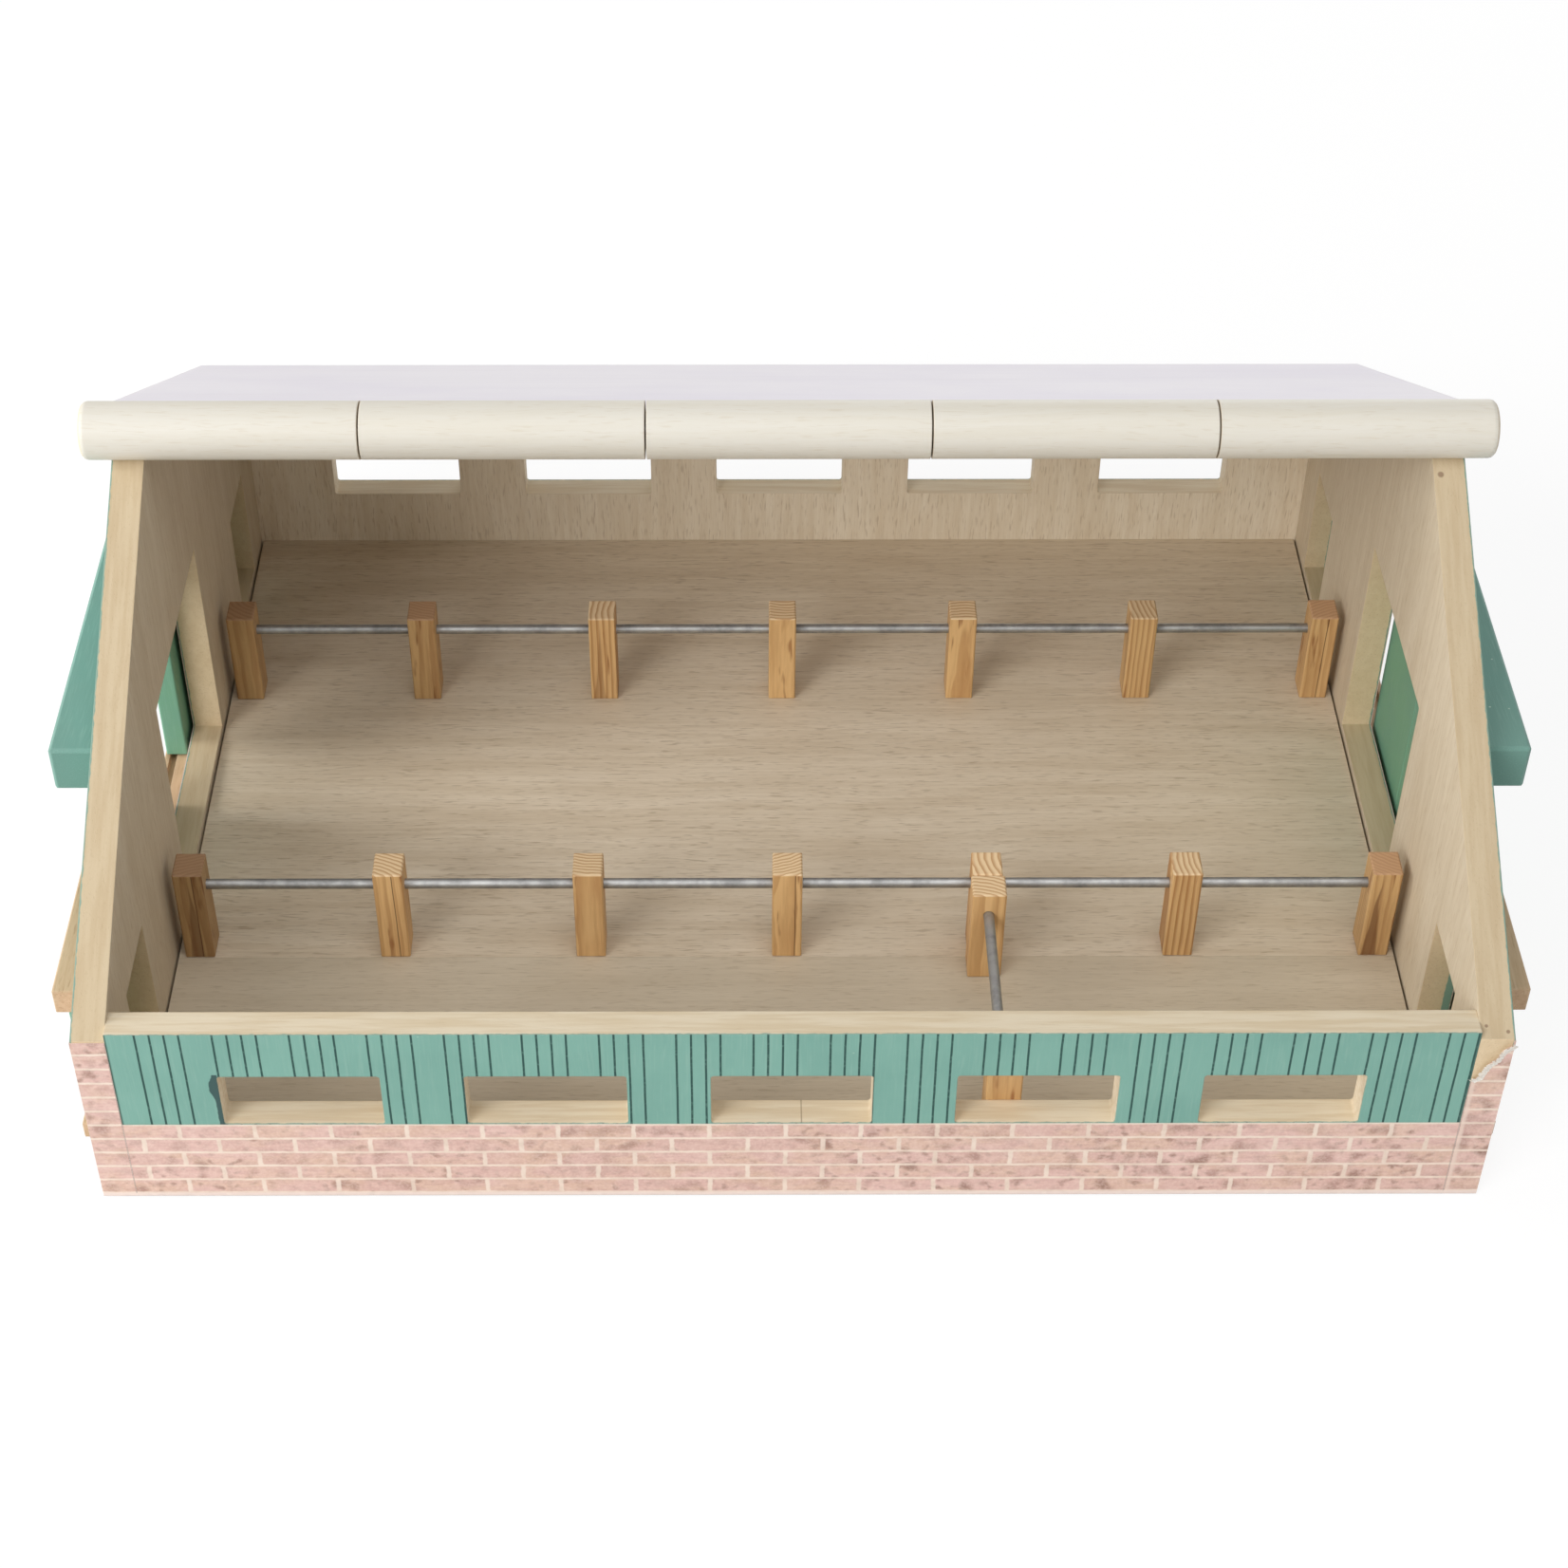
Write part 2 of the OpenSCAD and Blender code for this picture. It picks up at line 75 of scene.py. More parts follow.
# Where patterns and fasteners lie on the barn, in millimetres
WALL_HALF_LENGTH = 238
GABLE_X = 250
SIDE_Y = 194.5
HATCH_NEAR_Y = 120
HATCH_FOOT_Z = 10
HATCH_TOP_Z = 69
SLOPE_MARKS = ((240.6, -10.2, 188.8, 1.5), (240.2, -190.5, 84.7, 0.8), (247.6, -192.3, 83.7, 0.9))
SILL_SEAM_X = 3.6
SILL_BELOW_Z = 60
BRICK_LENGTH = 27.0
BRICK_COURSE = 7.35
BRICK_JOINT_X = -164.1
BRICK_FOOT_Z = 2.25
TEAR_TOP_Z = 81.5
ROOF_SLOPE = 29.3764
ROOF_REAR_AIR = 0.3
ROOF_NAILS_AT = (70, 180)
LINE_FIRST_X = -227.4
LINE_PERIOD = 26.73
LINE_STEP = 5.1
LINES_IN_GROUP = 4
LINE_WIDTH = 0.75
PAINT_RUN = (-202.2, 58.5)
TEAR_CORNERS = ((11.9, -1.2), (11.7, -2.2), (8.8, -4.84), (7.25, -9.24), (4.68, -12.1), (2.57, -18.04),
                (0, -20.5))

# How far the torn paper's fibres lean, in degrees, and how far they are stretched
FIBRE_LEAN = {"Min": (20, -75, -30), "Max": (100, 15, 30)}
FIBRE_STRETCH = {"Min": 0.35, "Max": 1.3}

# How single posts differ: brightness, strength of their stripes and heartwood, and plain sawn tops
POST_TONES = {"front_post_1": 0.8, "rear_post_1": 0.86, "rear_post_2": 0.9, "front_post_7": 0.9}
STRIPES = {"rear_post_3": 0.65, "front_post_6": 0.7, "front_post_5": 0.6, "rear_post_6": 0.55,
           "front_post_3": 0.45}
HEARTWOOD = {"front_post_1": 0.5, "front_post_7": 0.7, "rear_post_3": 0.35, "front_post_5": 0.3}
PLAIN_TOPS = ("front_post_1", "front_post_7", "rear_post_1", "rear_post_2", "rear_post_7")

# Screen colours: pine's light, dark, resin and heart, then sawn tops' light and dark
PINE = ((232, 191, 134), (172, 116, 64), (146, 86, 44), (122, 74, 42))
SAWN_RINGED = ((236, 208, 166), (190, 142, 94))
SAWN_PLAIN = ((212, 170, 130), (168, 118, 80))


def srgb(red, green, blue):
    """A colour as it looks on a screen, 0 to 255, as the linear colour that a shader takes."""
    def linear(value):
        value /= 255
        return value / 12.92 if value <= 0.04045 else ((value + 0.055) / 1.055) ** 2.4
    return (linear(red), linear(green), linear(blue), 1)


def new_object(name, data):
    """A new object at the origin, linked to the scene."""
    made = bpy.data.objects.new(name, data)
    bpy.context.scene.collection.objects.link(made)
    return made


def palette(**shades):
    """Named screen colours as shader colours."""
    return {name: srgb(*shade) for name, shade in shades.items()}


# ---------------------------------------------------------------- camera and lamps

def place_camera():
    """The camera that took the photograph."""
    camera = new_object("camera", bpy.data.cameras.new("camera"))
    camera.data.sensor_width = SENSOR_MM
    camera.data.lens = SENSOR_MM * FOCAL_PIXELS / PHOTO_PIXELS
    camera.data.shift_x = (PHOTO_PIXELS / 2 - CENTRE_PIXEL_X) / PHOTO_PIXELS
    camera.location = CAMERA_PLACE
    camera.rotation_euler = (math.radians(90 - CAMERA_BELOW_LEVEL), 0, CAMERA_TURN)
    camera.data.clip_start = 0.01
    camera.data.clip_end = 20
    bpy.context.scene.camera = camera


def soft_lamp(name, place, aim, size, power, colour):
    lamp = new_object(name, bpy.data.lights.new(name, "AREA"))
    lamp.data.shape = "DISK"
    lamp.data.size = size
    lamp.data.energy = power
    lamp.data.color = colour
    lamp.location = place
    lamp.rotation_euler = (Vector(aim) - Vector(place)).to_track_quat("-Z", "Y").to_euler()


# ---------------------------------------------------------------- node trees

class Tree:
    """A node tree under construction. A socket takes a value or another node's socket."""

    def __init__(self, tree):
        self.tree = tree

    def feed(self, socket, value):
        if isinstance(value, bpy.types.NodeSocket):
            self.tree.links.new(value, socket)
        elif value is not None:
            socket.default_value = value

    def add(self, kind, settings, inputs):
        """A new node. An underscore in an input's name stands for a space."""
        node = self.tree.nodes.new(kind)
        for name, value in (settings or {}).items():
            setattr(node, name, value)
        for name, value in inputs.items():
            self.feed(node.inputs[name.replace("_", " ")], value)
        return node

    def math(self, operation, *values):
        node = self.add("ShaderNodeMath", {"operation": operation}, {})
        for socket, value in zip(node.inputs, values):
            self.feed(socket, value)
        return node.outputs[0]

    def times(self, first, second):
        return self.math("MULTIPLY", first, second)

    def over(self, first, second):
        return self.math("DIVIDE", first, second)

    def plus(self, first, second):
        return self.math("ADD", first, second)

    def minus(self, first, second):
        return self.math("SUBTRACT", first, second)


class Graph(Tree):
    """A shader node tree under construction."""

    def size(self, value):
        return self.math("ABSOLUTE", value)

    def apart(self, first, second):
        return self.size(self.minus(first, second))

    def above(self, value, limit):
        return self.math("GREATER_THAN", value, limit)

    def below(self, value, limit):
        return self.math("LESS_THAN", value, limit)

    def larger(self, first, second):
        return self.math("MAXIMUM", first, second)

    def put(self, kind, settings=None, **inputs):
        return self.add("ShaderNode" + kind, settings, inputs)

    def use(self, group, **inputs):
        return self.put("Group", {"node_tree": group}, **inputs).outputs

    def vector_math(self, operation, *values):
        node = self.put("VectorMath", {"operation": operation})
        for socket, value in zip(node.inputs, values):
            self.feed(socket, value)
        return node.outputs["Value" if operation in ("DOT_PRODUCT", "DISTANCE") else "Vector"]

    def step(self, value, low, high, out_low=0.0, out_high=1.0):
        soft = {"clamp": True, "interpolation_type": "SMOOTHSTEP"}
        return self.put("MapRange", soft, Value=value, From_Min=low, From_Max=high, To_Min=out_low,
                        To_Max=out_high).outputs[0]

    def mix(self, factor, first, second):
        node = self.put("Mix", {"data_type": "RGBA"})
        self.feed(node.inputs[0], factor)
        self.feed(node.inputs[6], first)
        self.feed(node.inputs[7], second)
        return node.outputs[2]

    def split(self, vector):
        return self.put("SeparateXYZ", Vector=vector).outputs

    def join(self, x, y, z):
        return self.put("CombineXYZ", X=x, Y=y, Z=z).outputs[0]

    def noise(self, vector, scale=1.0, detail=2.0, roughness=0.5, seed=0.0):
        return self.put("TexNoise", {"noise_dimensions": "4D"}, Vector=vector, W=seed, Scale=scale,
                        Detail=detail, Roughness=roughness).outputs[0]

    def wobble(self, vector, reach, **settings):
        """Noise that runs from about minus half its reach to plus half of it."""
        return self.times(self.minus(self.noise(vector, **settings), 0.5), reach)

    def place(self):
        """Object coordinates, so that a pattern rides with its piece."""
        return self.put("TexCoord").outputs["Object"]

    def facing(self):
        """The face's own direction in the piece's coordinates."""
        return self.put("TexCoord").outputs["Normal"]


SOCKET_KINDS = {"Vector": "Vector", "Normal": "Vector", "Colour": "Color", "Light": "Color",
                "Dark": "Color", "Pore Colour": "Color", "Paint": "Color"}


def add_socket(tree, name, side, kind):
    return tree.interface.new_socket(name, in_out=side, socket_type="NodeSocket" + kind)


def group_tree(name, inputs, outputs):
    """A new shader group with named sockets, which hold a plain value unless their kind is listed."""
    tree = bpy.data.node_groups.new(name, "ShaderNodeTree")
    for side, sockets in (("INPUT", inputs), ("OUTPUT", outputs)):
        for socket in sockets:
            add_socket(tree, socket, side, SOCKET_KINDS.get(socket, "Float"))
    entry = tree.nodes.new("NodeGroupInput").outputs
    leave = tree.nodes.new("NodeGroupOutput").inputs
    return Graph(tree), entry, leave


def build_wood_grain():
    """Tonal streaks, fine fibre and short pores along the vector's X, in millimetres."""
    g, entry, leave = group_tree(
        "wood_grain", ["Vector", "Length", "Width", "Seed"], ["Streak", "Fibre", "Pores"])
    x, y, z = g.split(entry["Vector"])[:3]
    wander = g.noise(g.join(g.over(x, 60.0), g.over(y, 25.0), g.over(z, 25.0)), seed=entry["Seed"])
    sway = g.times(g.minus(wander, 0.5), g.times(entry["Width"], 2.5))
    along = g.over(x, entry["Length"])
    across_y = g.over(g.plus(y, sway), entry["Width"])
    across_z = g.over(g.plus(z, sway), entry["Width"])
    broad_at = g.join(g.times(along, 0.4), g.times(across_y, 0.16), g.times(across_z, 0.16))
    broad = g.noise(broad_at, detail=1.0, seed=entry["Seed"])
    medium = g.noise(g.join(along, across_y, across_z), detail=3.0, roughness=0.65, seed=entry["Seed"])
    g.feed(leave["Streak"], g.plus(g.times(broad, 0.4), g.times(medium, 0.6)))
    fibre_at = g.join(g.times(along, 2.2), g.times(across_y, 2.6), g.times(across_z, 2.6))
    g.feed(leave["Fibre"], g.noise(fibre_at, roughness=0.6, seed=entry["Seed"]))
    pore_at = g.join(g.over(x, 7.0), g.over(g.plus(y, sway), 0.7), g.over(g.plus(z, sway), 0.7))
    pores = g.noise(pore_at, detail=1.0, roughness=0.4, seed=entry["Seed"])
    g.feed(leave["Pores"], g.step(pores, 0.57, 0.72))
    return g.tree


def build_edge_wear():
    """A rounded normal for sharp edges, and a broken mask of where they have rubbed bare."""
    g, entry, leave = group_tree("edge_wear", ["Vector", "Radius", "Amount"], ["Normal", "Wear"])
    rounded = g.put("Bevel", {"samples": 6}, Radius=entry["Radius"]).outputs[0]
    flat = g.put("NewGeometry").outputs["True Normal"]
    turned = g.minus(1.0, g.vector_math("DOT_PRODUCT", rounded, flat))
    worn = g.plus(turned, g.wobble(entry["Vector"], 0.35, scale=0.35, detail=4.0, roughness=0.65))
    mask = g.step(worn, 0.05, 0.22)
    touched = g.step(turned, 0.004, 0.04)
    g.feed(leave["Wear"], g.times(g.times(mask, touched), entry["Amount"]))
    g.feed(leave["Normal"], rounded)
    return g.tree


def build_board_lines():
    """Dark lines in even groups along one coordinate, in millimetres."""
    g, entry, leave = group_tree("board_lines", ["Position", "Vector", "Line Width"], ["Line"])
    wobble = g.wobble(entry["Vector"], 0.35, scale=0.08)
    shifted = g.plus(g.minus(entry["Position"], LINE_FIRST_X - LINE_STEP / 2), wobble)
    in_group = g.minus(shifted, g.times(g.math("FLOOR", g.over(shifted, LINE_PERIOD)), LINE_PERIOD))
    from_line = g.apart(g.math("FRACT", g.over(in_group, LINE_STEP)), 0.5)
    distance = g.times(from_line, LINE_STEP)
    half = g.times(entry["Line Width"], 0.5)
    ink = g.step(distance, g.plus(half, 0.12), g.minus(half, 0.08))
    has_line = g.below(in_group, LINE_STEP * LINES_IN_GROUP)
    fade = g.step(g.noise(entry["Vector"], scale=0.6, detail=3.0), 0.25, 0.5, 0.72, 1.0)
    g.feed(leave["Line"], g.times(g.times(ink, has_line), fade))
    return g.tree


def build_brick_courses():
    """Running bond in millimetres: a mask of the bricks' faces and a random value for each brick."""
    g, entry, leave = group_tree(
        "brick_courses", ["Across", "Up", "Length", "Course", "Joint", "Bed"], ["Brick", "Random"])
    course = g.math("FLOOR", g.over(entry["Up"], entry["Course"]))
    shift = g.times(g.math("FRACT", g.times(course, 0.5)), entry["Length"])
    across = g.over(g.plus(entry["Across"], shift), entry["Length"])
    number = g.math("FLOOR", across)
    from_joint = g.times(g.minus(0.5, g.apart(g.math("FRACT", across), 0.5)), entry["Length"])
    in_course = g.math("FRACT", g.over(entry["Up"], entry["Course"]))
    from_bed = g.times(g.minus(0.5, g.apart(in_course, 0.5)), entry["Course"])
    half_joint = g.times(entry["Joint"], 0.5)
    half_bed = g.times(entry["Bed"], 0.5)
    soft = 0.28
    clear_joint = g.step(from_joint, g.minus(half_joint, soft), g.plus(half_joint, soft))
    clear_bed = g.step(from_bed, g.minus(half_bed, soft), g.plus(half_bed, soft))
    g.feed(leave["Brick"], g.times(clear_joint, clear_bed))
    dice = g.put("TexWhiteNoise", {"noise_dimensions": "2D"}, Vector=g.join(number, course, 0.0))
    g.feed(leave["Random"], dice.outputs["Value"])
    return g.tree


def build_smudges():
    """Faint clouds of dust and handling, and sparse small specks, in millimetres."""
    g, entry, leave = group_tree("smudges", ["Vector", "Size", "Seed"], ["Cloud", "Speck"])
    scaled = g.vector_math("DIVIDE", entry["Vector"], g.join(entry["Size"], entry["Size"], entry["Size"]))
    g.feed(leave["Cloud"], g.noise(scaled, detail=4.0, roughness=0.6, seed=entry["Seed"]))
    cells = g.put("TexVoronoi", {"feature": "F1"}, Vector=entry["Vector"], Scale=0.14)
    keep = g.above(g.split(cells.outputs["Color"])[0], 0.82)
    g.feed(leave["Speck"], g.times(g.step(cells.outputs["Distance"], 0.075, 0.03), keep))
    return g.tree


def build_wood_tones():
    """Light and dark wood mixed by a grain group's outputs, and the height that goes with them."""
    g, entry, leave = group_tree(
        "wood_tones", ["Streak", "Fibre", "Pores", "Light", "Dark", "Pore Colour", "Depth"],
        ["Colour", "Height"])
    tone = g.step(entry["Streak"], 0.3, 0.72)
    colour = g.mix(g.times(tone, entry["Depth"]), entry["Light"], entry["Dark"])
    fibre = g.times(g.step(entry["Fibre"], 0.35, 0.75), g.times(entry["Depth"], 0.35))
    colour = g.mix(fibre, colour, entry["Dark"])
    pores = g.times(entry["Pores"], g.times(entry["Depth"], 0.45))
    g.feed(leave["Colour"], g.mix(pores, colour, entry["Pore Colour"]))
    g.feed(leave["Height"], g.minus(g.times(entry["Fibre"], 0.6), g.times(entry["Pores"], 0.5)))
    return g.tree


def build_pore_dashes():
    """Short dark dashes along the vector's X, as open pores show in sliced veneer, in millimetres."""
    g, entry, leave = group_tree("pore_dashes", ["Vector", "Amount"], ["Dash"])
    along, across, other = g.split(entry["Vector"])[:3]
    place = g.join(g.times(along, 0.16), g.times(across, 1.5), g.times(other, 1.5))
    dash = g.step(g.noise(place, detail=1.0, seed=23.0), 0.60, 0.72)
    g.feed(leave["Dash"], g.times(dash, entry["Amount"]))
    return g.tree


def build_green_coat(smudges):
    """Matt green paint that follows the grain under it."""
    g, entry, leave = group_tree("green_coat", ["Vector", "Fibre", "Seed", "Paint"], ["Colour"])
    smudge = g.use(smudges, Vector=entry["Vector"], Size=38.0, Seed=entry["Seed"])
    colour = g.mix(g.step(smudge["Cloud"], 0.35, 0.7, 0.0, 0.45), entry["Paint"], GREEN_DEEP)
    colour = g.mix(g.step(entry["Fibre"], 0.45, 0.8, 0.0, 0.22), colour, GREEN_WORN)
    g.feed(leave["Colour"], g.mix(g.times(smudge["Speck"], 0.55), colour, GREEN_WORN))
    return g.tree


GREEN = srgb(126, 173, 160)
GREEN_DEEP = srgb(108, 155, 144)
GREEN_WORN = srgb(162, 193, 180)

GRAIN = build_wood_grain()
WEAR = build_edge_wear()
LINES = build_board_lines()
COURSES = build_brick_courses()
SMUDGES = build_smudges()
WOOD_TONES = build_wood_tones()
DASHES = build_pore_dashes()
GREEN_COAT = build_green_coat(SMUDGES)


# ---------------------------------------------------------------- materials

def new_material(name):
    material = bpy.data.materials.new(name)
    material.use_nodes = True
    material.node_tree.nodes.clear()
    return material, Graph(material.node_tree)


def finish_surface(g, colour, roughness, normal, specular=0.5, metallic=0.0):
    """Principled shader and output. Constants are set on the shader's own sockets."""
    shader = g.put("BsdfPrincipled", Base_Color=colour, Roughness=roughness, Normal=normal,
                   Specular_IOR_Level=specular, Metallic=metallic)
    g.put("OutputMaterial", Surface=shader.outputs[0])


def millimetres(g, centre):
    """Object coordinates in millimetres, from a centre that is given in millimetres."""
    scaled = g.vector_math("SCALE", g.place())
    scaled.node.inputs["Scale"].default_value = 1 / MM
    return g.vector_math("SUBTRACT", scaled, centre)


def new_surface(name, centre=(0, 0, 0)):
    """A material, its graph and the millimetre coordinates that its patterns lie in."""
    material, g = new_material(name)
    return material, g, millimetres(g, centre)


def along_axis(g, vector, axis):
    """The vector with the grain's axis first."""
    x, y, z = g.split(vector)[:3]
    return g.join(*{"X": (x, y, z), "Y": (y, x, z), "Z": (z, y, x)}[axis])


def grain_along(g, vector, axis, length, width, seed):
    return g.use(GRAIN, Vector=along_axis(g, vector, axis), Length=length, Width=width, Seed=seed)


def edge_wear(g, vector, radius_mm, amount):
    return g.use(WEAR, Vector=vector, Radius=radius_mm * MM, Amount=amount)


def wood_tones(g, grain, light, dark, pore, depth=1.0):
    """The colour and the height of bare wood with this grain."""
    wood = g.use(WOOD_TONES, Streak=grain["Streak"], Fibre=grain["Fibre"], Pores=grain["Pores"],
                 Light=light, Dark=dark, Pore_Colour=pore, Depth=depth)
    return wood["Colour"], wood["Height"]


def dashes(g, vector, axis, amount):
    return g.use(DASHES, Vector=along_axis(g, vector, axis), Amount=amount)["Dash"]


def bumped(g, height, strength, depth_mm, normal=None):
    return g.put("Bump", Strength=strength, Distance=depth_mm * MM, Height=height, Normal=normal).outputs[0]


def outward(g, vector, axis):
    """1 on faces that look away from the barn's middle along an axis, -1 on those that look back at it."""
    which = "XYZ".index(axis)
    side = g.split(g.facing())[which]
    return g.times(side, g.math("SIGN", g.split(vector)[which]))


# The rails' green is a darker copy of the walls' green paint: painted shade, as the rails are the same
# paint
SHADED_RAIL_GREEN = srgb(110, 150, 139)
DOOR_GREEN = srgb(116, 168, 138)
THICK_PAINT = srgb(58, 86, 84)
LINE_INK = srgb(42, 78, 72)
CUT_LIGHT = srgb(226, 208, 176)
CUT_DARK = srgb(211, 188, 150)
CUT_PORE = srgb(186, 158, 120)
GABLE_CUT = (srgb(228, 207, 174), srgb(212, 187, 149))
# A darker copy of the cut wood for the gables' upward sloping edges: painted shade
SHADED_SLOPE_TONES = (srgb(197, 180, 150), srgb(185, 165, 133))
LEVEL_TONES = (srgb(220, 209, 187), srgb(206, 190, 162))
# Lighter copies of the cut wood for the window sills and the sideways facing jambs: painted light
LIT_SILL_TONES = (srgb(238, 226, 202), srgb(224, 206, 176))
LIT_JAMB_TONES = (srgb(240, 230, 210), srgb(226, 210, 182))
# Inner veneer: the gables' (X) is a darker copy and the long walls' (Y) a lighter copy of one veneer,
# painted shade and painted light
VENEER_TONES_AND_SHADE = {"X": (srgb(217, 205, 183), srgb(197, 181, 155)),
                "Y": (srgb(246, 235, 215), srgb(224, 207, 180))}
VENEER_PORE = srgb(176, 152, 120)
RAIL_TONES = (srgb(208, 184, 152), srgb(188, 158, 124), srgb(158, 128, 96))
SEAM_SHADE = srgb(150, 126, 98)
NAIL_MARK = srgb(122, 92, 72)
PINE_CRACK = srgb(84, 50, 30)
PAINT_SPECK = srgb(206, 218, 206)
RIDGE_TONES = (srgb(223, 219, 209), srgb(214, 207, 190), srgb(200, 186, 162))
RIDGE_END = srgb(206, 186, 150)
RIDGE_RUBBED = srgb(214, 190, 152)
PAPER_CORE = (srgb(250, 247, 240), srgb(226, 216, 204))
ROD_STEEL = (171, 171, 170)
NAIL_STEEL = (190, 190, 188)
SCREW_STEEL = (196, 194, 188)

# Light, dark and pore colour, seed and depth of the pattern of each floor board
FLOORS = {
    "lane": ((srgb(224, 211, 190), srgb(202, 185, 160), srgb(152, 131, 105)), 51.0, 1.0),
    "front": ((srgb(210, 197, 175), srgb(192, 177, 153), srgb(158, 140, 115)), 57.0, 0.7),
}
WASH = palette(light=(237, 233, 238), dark=(230, 225, 234), streak=(218, 212, 220), speck=(200, 196, 200),
               rubbed=(236, 228, 214))
# The print's seam colour is a painted shadow at the walls' corners, and its foot line a painted contact
# shadow along the bottom edge
PRINT = palette(
    face=(223, 187, 178), dark_face=(214, 177, 166), tan=(216, 185, 158),
    streak=(200, 158, 150), dust=(236, 208, 196), blot=(142, 104, 92),
    blotted_joint=(160, 130, 112), mortar=(238, 221, 206), dark_mortar=(226, 206, 190),
    pale_strip=(232, 212, 198), grain=(240, 216, 204), seam=(126, 104, 96),
    foot=(238, 222, 214), foot_line=(176, 160, 154), rubbed=(246, 238, 230))


def green_coat(g, vector, grain, seed, paint=GREEN):
    return g.use(GREEN_COAT, Vector=vector, Fibre=grain["Fibre"], Seed=seed, Paint=paint)["Colour"]


def paint_overrun(g, vector, axis):
    """Where the outside paint has run round the edges onto bare wood, more so in the small doorways."""
    x, y, z = g.split(vector)[:3]
    ragged = g.times(g.noise(vector, scale=0.35, detail=3.0, seed=8.0), 1.2)
    if axis == "Y":
        depth = g.minus(SIDE_Y, g.size(y))
        return g.step(g.plus(depth, ragged), 1.15, 0.75, 0.0, 0.8)
    depth = g.minus(GABLE_X, g.size(x))
    in_hatch = g.times(g.above(g.size(y), HATCH_NEAR_Y), g.below(z, HATCH_TOP_Z))
    in_hatch = g.times(in_hatch, g.times(g.above(x, 0.0), g.above(z, HATCH_FOOT_Z)))
    reach = g.plus(1.2, g.times(in_hatch, 2.4))
    return g.step(g.minus(g.plus(depth, ragged), reach), 0.1, -0.3, 0.0, 0.85)


def paint_run(g, vector):
    """A dark run of thick paint beside the first window."""
    x, y, z = g.split(vector)[:3]
    run_x, bulge_z = PAINT_RUN
    ragged = g.wobble(vector, 1.2, scale=0.3, detail=3.0, seed=1.0)
    bulge = g.step(g.apart(z, bulge_z), 7.5, 1.0, 0.0, 0.8)
    middle = g.plus(g.plus(g.plus(x, -run_x), ragged), bulge)
    edge = g.minus(g.size(middle), bulge)
    beside = g.step(edge, 1.15, 0.7)
    return g.times(g.times(beside, g.below(z, 65.0)), g.below(y, 0.0))


def wall_board(name, axis, seed):
    """A wall: green boards outside, bare veneer inside and bare sawn edges all round."""
    material, g, vector = new_surface(name)
    x, y, z = g.split(vector)[:3]
    run = {"X": y, "Y": x}[axis]
    upright = grain_along(g, vector, "Z", 42.0, 2.0, seed)
    # This wall's veneer tones carry painted shade on the gables and painted light on the long walls
    veneer, veneer_height = wood_tones(g, upright, *VENEER_TONES_AND_SHADE[axis], VENEER_PORE, depth=0.8)
    veneer = g.mix(dashes(g, vector, "Z", 0.15), veneer, VENEER_PORE)
    sawn = grain_along(g, vector, "X" if axis == "Y" else "Y", 22.0, 3.5, seed + 3)
    cut_tones = GABLE_CUT if axis == "X" else (CUT_LIGHT, CUT_DARK)
    cut, cut_height = wood_tones(g, sawn, *cut_tones, CUT_PORE, depth=0.7)
    paint = green_coat(g, vector, upright, seed)
    line = g.use(LINES, Position=run, Vector=vector, Line_Width=LINE_WIDTH)["Line"]
    # A painted shadow line where the end walls meet the long walls, drawn in the lines' ink
    seam = g.step(g.size(run), WALL_HALF_LENGTH - 0.9, WALL_HALF_LENGTH - 0.3, 0.0, 0.7)
    paint = g.mix(g.larger(line, seam), paint, LINE_INK)
    if axis == "Y":
        paint = g.mix(paint_run(g, vector), paint, THICK_PAINT)
    wear = edge_wear(g, vector, 0.6, 0.25)
    stretched = {"X": (0.4, 0.03, 0.03), "Y": (0.03, 0.5, 0.5)}[axis]
    cloud = g.step(g.noise(g.vector_math("MULTIPLY", vector, stretched), detail=4.0), 0.36, 0.64)
    upward = g.split(g.facing())[2]
    if axis == "X":
        # Upward faces of the gables' cut edges take the darker copy: painted shade
        cut = g.mix(g.step(upward, 0.5, 0.8, 0.0, 0.75), cut, g.mix(cloud, *SHADED_SLOPE_TONES))
        for spot_x, spot_y, spot_z, radius in SLOPE_MARKS:
            near = g.vector_math("DISTANCE", vector, (spot_x, spot_y, spot_z))
            cut = g.mix(g.step(near, radius, radius * 0.5, 0.0, 0.7), cut, NAIL_MARK)
    else:
        # Sills below SILL_BELOW_Z take a lighter copy than the top edge, and sideways faces a lighter copy
        # of the cut wood: painted light
        level = g.mix(g.below(z, SILL_BELOW_Z), g.mix(cloud, *LEVEL_TONES), g.mix(cloud, *LIT_SILL_TONES))
        cut = g.mix(g.step(upward, 0.6, 0.9, 0.0, 0.75), cut, level)
        sideways = g.size(g.split(g.facing())[0])
        cut = g.mix(g.step(sideways, 0.6, 0.9, 0.0, 0.75), cut, g.mix(cloud, *LIT_JAMB_TONES))
        at_seam = g.step(g.apart(x, SILL_SEAM_X), 0.35, 0.12, 0.0, 0.6)
        in_front = g.below(y, 0.0)
        cut = g.mix(g.times(g.times(at_seam, in_front), g.below(z, SILL_BELOW_Z)), cut, SEAM_SHADE)
    cut = g.mix(paint_overrun(g, vector, axis), cut, GREEN_DEEP)
    outer = g.above(outward(g, vector, axis), 0.6)
    inner = g.below(outward(g, vector, axis), -0.6)
    colour = g.mix(outer, g.mix(inner, cut, veneer), paint)
    colour = g.mix(wear["Wear"], colour, CUT_LIGHT)
    height = g.mix(outer, g.mix(inner, cut_height, veneer_height), g.times(veneer_height, 0.5))
    finish_surface(g, colour, 0.62, bumped(g, height, 0.5, 0.12, wear["Normal"]), specular=0.3)
    return material


